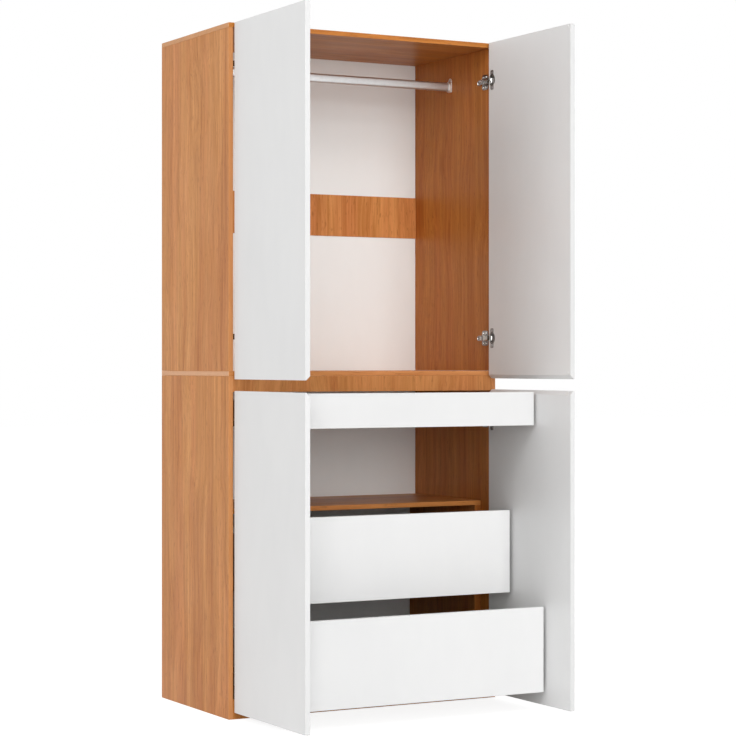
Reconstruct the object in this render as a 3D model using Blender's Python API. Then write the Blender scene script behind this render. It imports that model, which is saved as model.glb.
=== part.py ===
"""Four-door wardrobe with a hanging compartment, three drawers and a shelf, with its doors and drawers open.

Units are metres, +Z is up and the front faces -Y. The origin is on the floor, at the middle of the
base strip's underside. The doors stand open at a right angle and the drawers are pulled out.
"""

import math

import bmesh
import bpy
from mathutils import Matrix, Vector

# Carcass
WIDTH = 0.975
DEPTH = 0.523
HEIGHT = 2.168
BOARD = 0.015
FIT = 0.0003
EDGE_BEVEL = 0.0006
MIDDLE_PANEL_BOTTOM = 1.068
FRONT_RAIL_HEIGHT = 0.0497
BACK_PANEL_THICKNESS = 0.003
BACK_PANEL_INSET = 0.0144
BACK_RAIL_RISE = 0.463
BACK_RAIL_HEIGHT = 0.142
BACK_RAIL_THICKNESS = 0.003
BOTTOM_PANEL_TOP = 0.062

# Drawer unit
UNIT_SETBACK = 0.066
UNIT_BACK_CLEARANCE = 0.0023
SHELF_BOTTOM = 0.635
UPRIGHT_THICKNESS = 0.024
BATTEN_HEIGHT = 0.065
BATTEN_SETBACK = 0.097

# Hanging rail
RAIL_HEIGHT = 0.030
RAIL_THICKNESS = 0.015
RAIL_WALL = 0.0012
RAIL_DROP = 0.101
RAIL_SETBACK = 0.264
RAIL_ARC_STEPS = 10
SOCKET_WIDTH = 0.021
SOCKET_DEPTH = 0.012
SOCKET_FLOOR = 0.0025
SOCKET_RISE = 0.0195
SOCKET_DROP = 0.0182

# Doors
DOOR_MIDDLE_GAP = 0.0024
DOOR_THICKNESS = 0.016
DOOR_REVEAL = 0.0023
DOOR_STANDOFF = 0.003
DOOR_TOP_REVEAL = 0.0005
DOOR_FLOOR_GAP = 0.022
DOOR_PANEL_OVERLAP = 0.010
GRIP_GAP = 0.036
GRIP_CHAMFER = 0.0125
HINGE_EDGE_CHAMFER = 0.0025
QUARTER_TURN = math.radians(90)

# Hinges: the axis stands in front of the carcass, where the links of a cup hinge turn the door
AXIS_INSET = 0.0145
AXIS_STANDOFF = 0.0202
CUP_RADIUS = 0.0175
CUP_DEPTH = 0.0125
CUP_SETBACK = 0.0225
CUP_STEPS = 24
UPPER_HINGE_RISE = 0.133
UPPER_HINGE_DROP = 0.1245
LOWER_HINGE_RISE = 0.130
LOWER_HINGE_DROP = 0.102
PLATE_HEIGHT = 0.051
PLATE_WIDTH = 0.038
PLATE_THICKNESS = 0.0025
PLATE_SETBACK = 0.037
ARM_SETBACK = 0.080
ARM_UPRIGHT_CLEARANCE = 0.001
ARM_WIDTH = 0.017
ARM_TAIL_WIDTH = 0.0145
ARM_TAIL_THICKNESS = 0.006
ARM_BODY_THICKNESS = 0.012
ARM_NECK_SETBACK = 0.020
ARM_TIP_THICKNESS = 0.0036
ARM_TIP_CLEARANCE = 0.0009
ARM_TIP_REACH = 0.0107

# Drawers
DRAWER_FRONT_REVEAL = 0.0017
DRAWER_FRONT_GAP = 0.004
DRAWER_RAIL_GAP = 0.0015
DRAWER_FRONT_THICKNESS = 0.015
TOP_FRONT_HEIGHT = 0.1065
MIDDLE_FRONT_HEIGHT = 0.267
BOTTOM_FRONT_HEIGHT = 0.270
TOP_BOX_RISE = 0.015
DEEP_BOX_RISE = 0.028
TOP_BOX_HEIGHT = 0.065
DEEP_BOX_HEIGHT = 0.180
TOP_PULL = 0.363
MIDDLE_PULL = 0.220
BOTTOM_PULL = 0.420
DRAWER_SIDE_THICKNESS = 0.012
DRAWER_BOTTOM_THICKNESS = 0.003
DRAWER_BOTTOM_RISE = 0.008

# Drawer slides: a track on the cabinet and a runner between it and the box
SLIDE_SPACE = 0.0127
SLIDE_WALL = 0.0012
TRACK_HEIGHT = 0.045
TRACK_DEPTH = 0.0095
SLIDE_RISE = 0.0325
SLIDE_BACK_CLEARANCE = 0.0067
RUNNER_TRAVEL_SHARE = 0.5

# Places that follow from the sizes above
FRONT = -BOARD / 2
BACK = FRONT + DEPTH
HALF = WIDTH / 2
SIDE_INNER = HALF - BOARD
BACK_PANEL_BACK = BACK - BACK_PANEL_INSET
BACK_PANEL_FRONT = BACK_PANEL_BACK - BACK_PANEL_THICKNESS
MIDDLE_PANEL_TOP = MIDDLE_PANEL_BOTTOM + BOARD
TOP_PANEL_BOTTOM = HEIGHT - BOARD
SHELF_TOP = SHELF_BOTTOM + BOARD
UNIT_FRONT = FRONT + UNIT_SETBACK
UNIT_BACK = BACK_PANEL_FRONT - UNIT_BACK_CLEARANCE
UPRIGHT_INNER = SIDE_INNER - FIT - UPRIGHT_THICKNESS
BOX_HALF = UPRIGHT_INNER - SLIDE_SPACE
TRACK_FRONT = UNIT_FRONT + DRAWER_FRONT_THICKNESS + 2 * FIT
BOX_LENGTH = UNIT_BACK - TRACK_FRONT - SLIDE_BACK_CLEARANCE
RAIL_LEVEL = TOP_PANEL_BOTTOM - RAIL_DROP
FRONT_RAIL_TOP = MIDDLE_PANEL_BOTTOM - FIT
FRONT_RAIL_BOTTOM = FRONT_RAIL_TOP - FRONT_RAIL_HEIGHT
DOOR_WIDTH = HALF - DOOR_REVEAL - DOOR_MIDDLE_GAP / 2
UPPER_DOOR_TOP = HEIGHT - DOOR_TOP_REVEAL
UPPER_DOOR_BOTTOM = MIDDLE_PANEL_BOTTOM - DOOR_PANEL_OVERLAP
LOWER_DOOR_TOP = UPPER_DOOR_BOTTOM - GRIP_GAP
UPPER_HINGE_LEVELS = {"bottom": UPPER_DOOR_BOTTOM + UPPER_HINGE_RISE, "top": UPPER_DOOR_TOP - UPPER_HINGE_DROP}
LOWER_HINGE_LEVELS = {"bottom": DOOR_FLOOR_GAP + LOWER_HINGE_RISE, "top": LOWER_DOOR_TOP - LOWER_HINGE_DROP}
SIDES = {"left": -1, "right": 1}


class Drawer:
    """Levels of one drawer and how far it is pulled out."""

    def __init__(self, front_bottom, front_height, box_rise, box_height, pull):
        self.front_bottom = front_bottom
        self.front_top = front_bottom + front_height
        self.box_bottom = front_bottom + box_rise
        self.box_height = box_height
        self.pull = pull


DRAWERS = {
    "top": Drawer(
        front_bottom=FRONT_RAIL_BOTTOM - DRAWER_RAIL_GAP - TOP_FRONT_HEIGHT,
        front_height=TOP_FRONT_HEIGHT,
        box_rise=TOP_BOX_RISE,
        box_height=TOP_BOX_HEIGHT,
        pull=TOP_PULL,
    ),
    "middle": Drawer(
        front_bottom=SHELF_BOTTOM - DRAWER_FRONT_GAP - MIDDLE_FRONT_HEIGHT,
        front_height=MIDDLE_FRONT_HEIGHT,
        box_rise=DEEP_BOX_RISE,
        box_height=DEEP_BOX_HEIGHT,
        pull=MIDDLE_PULL,
    ),
    "bottom": Drawer(
        front_bottom=BOTTOM_PANEL_TOP + DRAWER_FRONT_GAP,
        front_height=BOTTOM_FRONT_HEIGHT,
        box_rise=DEEP_BOX_RISE,
        box_height=DEEP_BOX_HEIGHT,
        pull=BOTTOM_PULL,
    ),
}

WOOD = (0.45, 0.16, 0.055)
WHITE = (0.83, 0.82, 0.80)
BOX_WOOD = (0.80, 0.78, 0.74)
METAL = (0.62, 0.62, 0.63)


def clear_scene():
    """Removes every object that the scene starts with."""
    for item in list(bpy.data.objects):
        bpy.data.objects.remove(item, do_unlink=True)


def add_material(item, colour, roughness, metallic=0.0):
    """Gives an object a material of its own."""
    material = bpy.data.materials.new(item.name)
    material.use_nodes = True
    shader = material.node_tree.nodes["Principled BSDF"]
    shader.inputs["Base Color"].default_value = (*colour, 1)
    shader.inputs["Roughness"].default_value = roughness
    shader.inputs["Metallic"].default_value = metallic
    item.data.materials.clear()
    item.data.materials.append(material)


def add_mesh_object(name, mesh, parent=None):
    """Adds a named object, with its origin on its parent where it has one."""
    item = bpy.data.objects.new(name, mesh)
    bpy.context.scene.collection.objects.link(item)
    if parent is not None:
        item.parent = parent
        mesh.transform(Matrix.Translation(-parent.location))
    return item


def mesh_from(shape, name):
    """Turns a finished bmesh into a mesh with its faces pointing out."""
    bmesh.ops.recalc_face_normals(shape, faces=shape.faces)
    mesh = bpy.data.meshes.new(name)
    shape.to_mesh(mesh)
    shape.free()
    return mesh


def prism_shape(outline, direction, length):
    """Extrudes a closed outline of points along a direction, as a bmesh."""
    shape = bmesh.new()
    face = shape.faces.new([shape.verts.new(point) for point in outline])
    extruded = bmesh.ops.extrude_face_region(shape, geom=[face])
    moved = [part for part in extruded["geom"] if isinstance(part, bmesh.types.BMVert)]
    bmesh.ops.translate(shape, verts=moved, vec=direction * length)
    return shape


def box_shape(low, high):
    """A box between two opposite corners, as a bmesh."""
    outline = [
        (low[0], low[1], low[2]),
        (high[0], low[1], low[2]),
        (high[0], high[1], low[2]),
        (low[0], high[1], low[2]),
    ]
    return prism_shape(outline, Vector((0, 0, 1)), high[2] - low[2])


def soften(item):
    """Takes the sharpness off the edges of a board."""
    bevel = item.modifiers.new("edge", "BEVEL")
    bevel.width = EDGE_BEVEL
    bevel.segments = 1
    bevel.limit_method = "ANGLE"


def add_board(name, low, high, colour, roughness, parent=None):
    """Adds one softened board between two corners."""
    item = add_mesh_object(name, mesh_from(box_shape(low, high), name), parent)
    add_material(item, colour, roughness)
    soften(item)
    return item


def add_carcass_panels():
    """Top, middle and bottom panels, the sides and the base strip."""
    add_board("top_panel", (-HALF, FRONT, TOP_PANEL_BOTTOM), (HALF, BACK, HEIGHT), WOOD, 0.35)
    add_board("middle_panel", (-HALF, FRONT, MIDDLE_PANEL_BOTTOM), (HALF, BACK, MIDDLE_PANEL_TOP), WOOD, 0.35)
    storeys = {
        "lower": (0, MIDDLE_PANEL_BOTTOM - FIT),
        "upper": (MIDDLE_PANEL_TOP + FIT, TOP_PANEL_BOTTOM - FIT),
    }
    for side, sign in SIDES.items():
        inner, outer = sorted((sign * SIDE_INNER, sign * HALF))
        for storey, (bottom, top) in storeys.items():
            add_board(f"{storey}_{side}_side", (inner, FRONT, bottom), (outer, BACK, top), WOOD, 0.35)
    reach = SIDE_INNER - FIT
    add_board("base_strip", (-reach, FRONT, 0), (reach, FRONT + BOARD, BOTTOM_PANEL_TOP), WOOD, 0.35)
    add_board(
        "bottom_panel",
        (-reach, FRONT + BOARD + FIT, BOTTOM_PANEL_TOP - BOARD),
        (reach, BACK_PANEL_FRONT - FIT, BOTTOM_PANEL_TOP),
        WOOD,
        0.35,
    )


def add_rails_and_backs():
    """The front rail over the drawers, the back rail and the two back panels."""
    reach = SIDE_INNER - FIT
    add_board(
        "front_rail",
        (-reach, FRONT, FRONT_RAIL_BOTTOM),
        (reach, FRONT + BOARD, FRONT_RAIL_TOP),
        WOOD,
        0.35,
    )
    rail_back = BACK_PANEL_FRONT - FIT
    rail_bottom = MIDDLE_PANEL_TOP + BACK_RAIL_RISE
    add_board(
        "back_rail",
        (-reach, rail_back - BACK_RAIL_THICKNESS, rail_bottom),
        (reach, rail_back, rail_bottom + BACK_RAIL_HEIGHT),
        WOOD,
        0.35,
    )
    storeys = {
        "lower": (BOTTOM_PANEL_TOP - BOARD, MIDDLE_PANEL_BOTTOM - FIT),
        "upper": (MIDDLE_PANEL_TOP + FIT, TOP_PANEL_BOTTOM - FIT),
    }
    for storey, (bottom, top) in storeys.items():
        add_board(
            f"{storey}_back_panel",
            (-reach, BACK_PANEL_FRONT, bottom),
            (reach, BACK_PANEL_BACK, top),
            WHITE,
            0.5,
        )


def add_drawer_unit():
    """The shelf, the two uprights below it and the battens that carry the top drawer."""
    reach = SIDE_INNER - FIT
    add_board(
        "unit_shelf", (-reach, UNIT_FRONT, SHELF_BOTTOM), (reach, BACK_PANEL_FRONT - FIT, SHELF_TOP), WOOD, 0.35
    )
    batten_bottom = DRAWERS["top"].box_bottom
    for side, sign in SIDES.items():
        inner, outer = sorted((sign * UPRIGHT_INNER, sign * reach))
        add_board(
            f"{side}_upright",
            (inner, UNIT_FRONT, BOTTOM_PANEL_TOP + FIT),
            (outer, UNIT_BACK, SHELF_BOTTOM - FIT),
            WOOD,
            0.35,
        )
        add_board(
            f"{side}_batten",
            (inner, FRONT + BATTEN_SETBACK, batten_bottom),
            (outer, UNIT_BACK, batten_bottom + BATTEN_HEIGHT),
            WOOD,
            0.35,
        )


def oval_outline(across, height, width, level, setback):
    """Points of an upright oval in the plane at one X, with round top and bottom."""
    radius = width / 2
    straight = height / 2 - radius
    points = []
    for end in (1, -1):
        for step in range(RAIL_ARC_STEPS + 1):
            turn = math.pi * step / RAIL_ARC_STEPS
            out = end * radius * math.cos(turn)
            up = end * (straight + radius * math.sin(turn))
            points.append((across, setback + out, level + up))
    return points


def socket_outline(across, setback):
    """Points of the rail socket's plate: square below the rail, round above it."""
    radius = SOCKET_WIDTH / 2
    bottom = RAIL_LEVEL - SOCKET_DROP
    shoulder = RAIL_LEVEL + SOCKET_RISE
    points = [(across, setback - radius, bottom), (across, setback + radius, bottom)]
    for step in range(RAIL_ARC_STEPS + 1):
        turn = math.pi * step / RAIL_ARC_STEPS
        points.append((across, setback + radius * math.cos(turn), shoulder + radius * math.sin(turn)))
    return points


def add_cutter(target, shape, name):
    """Cuts a closed shape out of an object with a Boolean."""
    cutter = add_mesh_object(name, mesh_from(shape, name))
    cutter.hide_render = True
    cutter.display_type = "WIRE"
    boolean = target.modifiers.new(name, "BOOLEAN")
    boolean.operation = "DIFFERENCE"
    boolean.solver = "EXACT"
    boolean.object = cutter


def add_hanging_rail():
    """The oval tube and the two sockets that hold its ends."""
    setback = FRONT + RAIL_SETBACK
    along = Vector((1, 0, 0))
    half_length = SIDE_INNER - FIT - SOCKET_FLOOR - FIT
    outer = oval_outline(-half_length, RAIL_HEIGHT, RAIL_THICKNESS, RAIL_LEVEL, setback)
    tube = mesh_from(prism_shape(outer, along, 2 * half_length), "hanging_rail")
    rail = add_mesh_object("hanging_rail", tube)
    add_material(rail, METAL, 0.3, 1.0)
    overrun = half_length + RAIL_WALL
    bore_height = RAIL_HEIGHT - 2 * RAIL_WALL
    bore_width = RAIL_THICKNESS - 2 * RAIL_WALL
    bore = oval_outline(-overrun, bore_height, bore_width, RAIL_LEVEL, setback)
    add_cutter(rail, prism_shape(bore, along, 2 * overrun), "hanging_rail_bore")
    rail.data.shade_smooth()
    for side, sign in SIDES.items():
        face = sign * (SIDE_INNER - FIT)
        name = f"{side}_rail_socket"
        plate = prism_shape(socket_outline(face, setback), -sign * along, SOCKET_DEPTH)
        socket = add_mesh_object(name, mesh_from(plate, name))
        add_material(socket, METAL, 0.3, 1.0)
        floor = face - sign * SOCKET_FLOOR
        seat = oval_outline(
            floor, RAIL_HEIGHT + 2 * FIT, RAIL_THICKNESS + 2 * FIT, RAIL_LEVEL, setback
        )
        add_cutter(socket, prism_shape(seat, -sign * along, SOCKET_DEPTH), f"{name}_seat")


def add_axis(name, location):
    """An empty that marks where a moving piece turns or slides."""
    axis = bpy.data.objects.new(name, None)
    axis.location = location
    bpy.context.scene.collection.objects.link(axis)
    return axis


def cup_shape(sign, level):
    """A cylinder that cuts the seat of one hinge cup, with the door closed."""
    shape = bmesh.new()
    depth = 2 * CUP_DEPTH
    bmesh.ops.create_cone(
        shape,
        cap_ends=True,
        segments=CUP_STEPS,
        radius1=CUP_RADIUS,
        radius2=CUP_RADIUS,
        depth=depth,
    )
    across = sign * (HALF - DOOR_REVEAL - CUP_SETBACK)
    inner_face = FRONT - DOOR_STANDOFF
    place = Matrix.Translation((across, inner_face, level)) @ Matrix.Rotation(QUARTER_TURN, 4, "X")
    bmesh.ops.transform(shape, matrix=place, verts=shape.verts)
    return shape


def closed_door_shape(sign, bottom, top, grip_at_top):
    """A door in its closed place, with the finger grip chamfer and the eased hinge edge."""
    hinge_edge = sign * (HALF - DOOR_REVEAL)
    free_edge = hinge_edge - sign * DOOR_WIDTH
    inner = FRONT - DOOR_STANDOFF
    outer = inner - DOOR_THICKNESS
    chamfered = inner - GRIP_CHAMFER
    if grip_at_top:
        inner_side = [(inner, bottom), (inner, top - GRIP_CHAMFER), (chamfered, top)]
    else:
        inner_side = [(chamfered, bottom), (inner, bottom + GRIP_CHAMFER), (inner, top)]
    profile = [(outer, bottom), *inner_side, (outer, top)]
    outline = [(hinge_edge, depth, level) for depth, level in profile]
    shape = prism_shape(outline, Vector((free_edge - hinge_edge, 0, 0)), 1)
    eased = [
        edge
        for edge in shape.edges
        if all(
            math.isclose(vert.co.x, hinge_edge, abs_tol=FIT)
            and math.isclose(vert.co.y, inner, abs_tol=FIT)
            for vert in edge.verts
        )
    ]
    bmesh.ops.bevel(shape, geom=eased, offset=HINGE_EDGE_CHAMFER, segments=1, affect="EDGES")
    return shape


def add_door(storey, side, bottom, top, hinge_levels, grip_at_top):
    """One door, open at a right angle, with its seats for the hinge cups."""
    sign = SIDES[side]
    name = f"{storey}_{side}_door"
    middle = (bottom + top) / 2
    axis = add_axis(f"{name}_axis", Vector((sign * (HALF - AXIS_INSET), FRONT - AXIS_STANDOFF, middle)))
    opened = (
        Matrix.Translation(axis.location)
        @ Matrix.Rotation(sign * QUARTER_TURN, 4, "Z")
        @ Matrix.Translation(-axis.location)
    )
    shape = closed_door_shape(sign, bottom, top, grip_at_top)
    bmesh.ops.transform(shape, matrix=opened, verts=shape.verts)
    door = add_mesh_object(name, mesh_from(shape, name), axis)
    add_material(door, WHITE, 0.4)
    soften(door)
    for place, level in hinge_levels.items():
        cup = cup_shape(sign, level)
        bmesh.ops.transform(cup, matrix=opened, verts=cup.verts)
        add_cutter(door, cup, f"{name}_{place}_cup")


def arm_outline(tail):
    """Points of a hinge arm from above, as inward distance from the side's outer face and setback."""
    door_inner = AXIS_INSET + AXIS_STANDOFF - DOOR_STANDOFF
    tip_low = door_inner + ARM_TIP_CLEARANCE
    tip_high = tip_low + ARM_TIP_THICKNESS
    seat = BOARD + FIT
    body = seat + ARM_BODY_THICKNESS
    plate_half = PLATE_WIDTH / 2
    return [
        (seat, tail),
        (seat, PLATE_SETBACK - plate_half),
        (tip_low, ARM_NECK_SETBACK / 2),
        (tip_low, -ARM_TIP_REACH),
        (tip_high, -ARM_TIP_REACH),
        (tip_high, ARM_NECK_SETBACK),
        (body, PLATE_SETBACK + plate_half),
        (seat + ARM_TAIL_THICKNESS, tail),
    ]


def arm_shape(sign, level):
    """The arm of one hinge, narrower at its tail, and short where an upright stands behind it."""
    tail = ARM_SETBACK
    if BOTTOM_PANEL_TOP < level < SHELF_BOTTOM:
        tail = UNIT_SETBACK - ARM_UPRIGHT_CLEARANCE
    tail_share = ARM_TAIL_WIDTH / ARM_WIDTH
    underside = level - ARM_WIDTH / 2
    outline = [
        (sign * (HALF - inward), FRONT + setback, underside) for inward, setback in arm_outline(tail)
    ]
    shape = prism_shape(outline, Vector((0, 0, 1)), ARM_WIDTH)
    for vert in shape.verts:
        if math.isclose(vert.co.y, FRONT + tail, abs_tol=FIT):
            vert.co.z = level + (vert.co.z - level) * tail_share
    return shape


def plate_shape(sign, level):
    """The mounting plate's two wings, as one block that lies through the arm."""
    near = HALF - BOARD - FIT
    inner, outer = sorted((sign * near, sign * (near - PLATE_THICKNESS)))
    setback = FRONT + PLATE_SETBACK
    half_width = PLATE_WIDTH / 2
    half_height = PLATE_HEIGHT / 2
    return box_shape(
        (inner, setback - half_width, level - half_height),
        (outer, setback + half_width, level + half_height),
    )


def add_hinges():
    """The arms and plates of the eight hinges, on the sides."""
    for storey, levels in {"lower": LOWER_HINGE_LEVELS, "upper": UPPER_HINGE_LEVELS}.items():
        for side, sign in SIDES.items():
            for place, level in levels.items():
                name = f"{storey}_{side}_hinge_{place}"
                hinge = add_mesh_object(name, mesh_from(arm_shape(sign, level), name))
                add_material(hinge, METAL, 0.3, 1.0)
                wings_name = f"{name}_wings"
                wings = add_mesh_object(wings_name, mesh_from(plate_shape(sign, level), wings_name))
                wings.hide_render = True
                wings.display_type = "WIRE"
                union = hinge.modifiers.new("wings", "BOOLEAN")
                union.operation = "UNION"
                union.solver = "EXACT"
                union.object = wings


def channel_shape(sign, web, reach, half_height, level, front):
    """A slide member, a channel open towards the drawer, running back from its front end."""
    wall = SLIDE_WALL
    profile = [
        (web, -half_height),
        (reach, -half_height),
        (reach, -half_height + wall),
        (web + wall, -half_height + wall),
        (web + wall, half_height - wall),
        (reach, half_height - wall),
        (reach, half_height),
        (web, half_height),
    ]
    outline = [(sign * (UPRIGHT_INNER - inward), front, level + up) for inward, up in profile]
    return prism_shape(outline, Vector((0, 1, 0)), BOX_LENGTH)


def add_slides(place, drawer):
    """Two tracks on the uprights and two runners, half as far out as the drawer."""
    level = drawer.box_bottom + SLIDE_RISE
    runner_front = TRACK_FRONT - drawer.pull * RUNNER_TRAVEL_SHARE
    axis = add_axis(f"{place}_runners_axis", Vector((0, runner_front, level)))
    half_track = TRACK_HEIGHT / 2
    half_runner = half_track - SLIDE_WALL - FIT
    for side, sign in SIDES.items():
        track_name = f"{place}_{side}_track"
        shape = channel_shape(sign, FIT, TRACK_DEPTH, half_track, level, TRACK_FRONT)
        track = add_mesh_object(track_name, mesh_from(shape, track_name))
        add_material(track, METAL, 0.35, 1.0)
        runner_name = f"{place}_{side}_runner"
        web = FIT + SLIDE_WALL + FIT
        shape = channel_shape(sign, web, SLIDE_SPACE - FIT, half_runner, level, runner_front)
        runner = add_mesh_object(runner_name, mesh_from(shape, runner_name), axis)
        add_material(runner, METAL, 0.35, 1.0)


def add_drawer(place, drawer):
    """A drawer's front, two sides, back and bottom, pulled out."""
    face = UNIT_FRONT - drawer.pull
    front_back = face + DRAWER_FRONT_THICKNESS
    box_front = front_back + FIT
    box_back = box_front + BOX_LENGTH
    box_top = drawer.box_bottom + drawer.box_height
    half_front = UPRIGHT_INNER - DRAWER_FRONT_REVEAL
    axis = add_axis(f"{place}_drawer_axis", Vector((0, face, drawer.box_bottom)))
    add_board(
        f"{place}_drawer_front",
        (-half_front, face, drawer.front_bottom),
        (half_front, front_back, drawer.front_top),
        WHITE,
        0.4,
        axis,
    )
    side_inner = BOX_HALF - DRAWER_SIDE_THICKNESS
    for side, sign in SIDES.items():
        inner, outer = sorted((sign * side_inner, sign * BOX_HALF))
        add_board(
            f"{place}_drawer_{side}_side",
            (inner, box_front, drawer.box_bottom),
            (outer, box_back, box_top),
            BOX_WOOD,
            0.5,
            axis,
        )
    reach = side_inner - FIT
    back_front = box_back - DRAWER_SIDE_THICKNESS
    add_board(
        f"{place}_drawer_back",
        (-reach, back_front, drawer.box_bottom),
        (reach, box_back, box_top),
        BOX_WOOD,
        0.5,
        axis,
    )
    bottom_level = drawer.box_bottom + DRAWER_BOTTOM_RISE
    add_board(
        f"{place}_drawer_bottom",
        (-reach, box_front, bottom_level),
        (reach, back_front - FIT, bottom_level + DRAWER_BOTTOM_THICKNESS),
        BOX_WOOD,
        0.5,
        axis,
    )


def main():
    clear_scene()
    add_carcass_panels()
    add_rails_and_backs()
    add_drawer_unit()
    add_hanging_rail()
    add_hinges()
    for side in SIDES:
        add_door("upper", side, UPPER_DOOR_BOTTOM, UPPER_DOOR_TOP, UPPER_HINGE_LEVELS, False)
        add_door("lower", side, DOOR_FLOOR_GAP, LOWER_DOOR_TOP, LOWER_HINGE_LEVELS, True)
    for place, drawer in DRAWERS.items():
        add_slides(place, drawer)
        add_drawer(place, drawer)


main()
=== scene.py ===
"""Looks of a four-door wardrobe: its foils, laminates and metals, its fittings, and the studio around it.

Lengths are metres, +Z is up and the front faces -Y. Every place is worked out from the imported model's nodes.
"""

import logging
import math
from dataclasses import dataclass
from enum import Enum
from typing import Callable, ClassVar, Iterable, Optional, Union

import bmesh
import bpy
from mathutils import Matrix, Vector


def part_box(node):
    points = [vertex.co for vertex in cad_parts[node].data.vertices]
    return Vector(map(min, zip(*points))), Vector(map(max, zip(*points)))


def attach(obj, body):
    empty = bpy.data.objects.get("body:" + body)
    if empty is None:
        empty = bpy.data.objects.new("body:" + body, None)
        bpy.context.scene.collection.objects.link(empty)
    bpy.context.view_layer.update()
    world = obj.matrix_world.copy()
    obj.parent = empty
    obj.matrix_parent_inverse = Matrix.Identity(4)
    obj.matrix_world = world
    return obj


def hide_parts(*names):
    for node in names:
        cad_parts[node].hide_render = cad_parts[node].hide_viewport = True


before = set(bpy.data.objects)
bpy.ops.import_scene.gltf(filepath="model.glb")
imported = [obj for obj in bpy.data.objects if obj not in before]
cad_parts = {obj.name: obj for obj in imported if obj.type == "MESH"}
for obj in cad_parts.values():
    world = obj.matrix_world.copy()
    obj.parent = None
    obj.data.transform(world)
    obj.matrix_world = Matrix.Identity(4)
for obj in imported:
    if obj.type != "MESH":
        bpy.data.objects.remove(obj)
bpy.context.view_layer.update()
log = logging.getLogger("wardrobe")

Triple = tuple[float, float, float]
Colour = Triple
Point = tuple[float, float]
Corners = tuple[Vector, Vector]
Socket = bpy.types.NodeSocket
Node = bpy.types.Node
Tree = bpy.types.NodeTree
Material = bpy.types.Material
Item = bpy.types.Object
Edges = list[bmesh.types.BMEdge]
Feed = Union[Socket, float, tuple, Vector]
Shape = bmesh.types.BMesh

UP = Vector((0, 0, 1))
ACROSS = Vector((1, 0, 0))
INTO_ROOM = Vector((0, -1, 0))
X, Y, Z = range(3)
QUARTER_TURN = math.radians(90)
FULL_TURN = math.radians(360)
BOTH_ENDS = (-1, 1)
# Lengths that differ by less than this are the same.
NEAR = 1e-6
# Edges that turn by less than the first angle are shaded smooth, and those over the second are rounded.
SMOOTH_UNDER = math.radians(32)
SHARP_OVER = math.radians(40)
# The clearance between two pieces that are fitted together.
FIT = 0.0003
# The places of a colour mix among the sockets of a Mix node.
MIX_FIRST, MIX_SECOND, MIX_RESULT = 6, 7, 2


class Side(Enum):
    """The two sides of the wardrobe, seen from the front."""

    LEFT = "left"
    RIGHT = "right"

    @property
    def sign(self) -> int:
        """Which way this side lies along X."""
        return -1 if self is Side.LEFT else 1


class Storey(Enum):
    """The two storeys of the wardrobe."""

    LOWER = "lower"
    UPPER = "upper"


class Level(Enum):
    """The three drawers."""

    TOP = "top"
    MIDDLE = "middle"
    BOTTOM = "bottom"


class Grain(Enum):
    """Which way a board's grain runs, as the turn that brings it upright."""

    UPRIGHT = (0.0, 0.0, 0.0)
    ACROSS = (0.0, QUARTER_TURN, 0.0)
    DEEP = (QUARTER_TURN, 0.0, 0.0)


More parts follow.
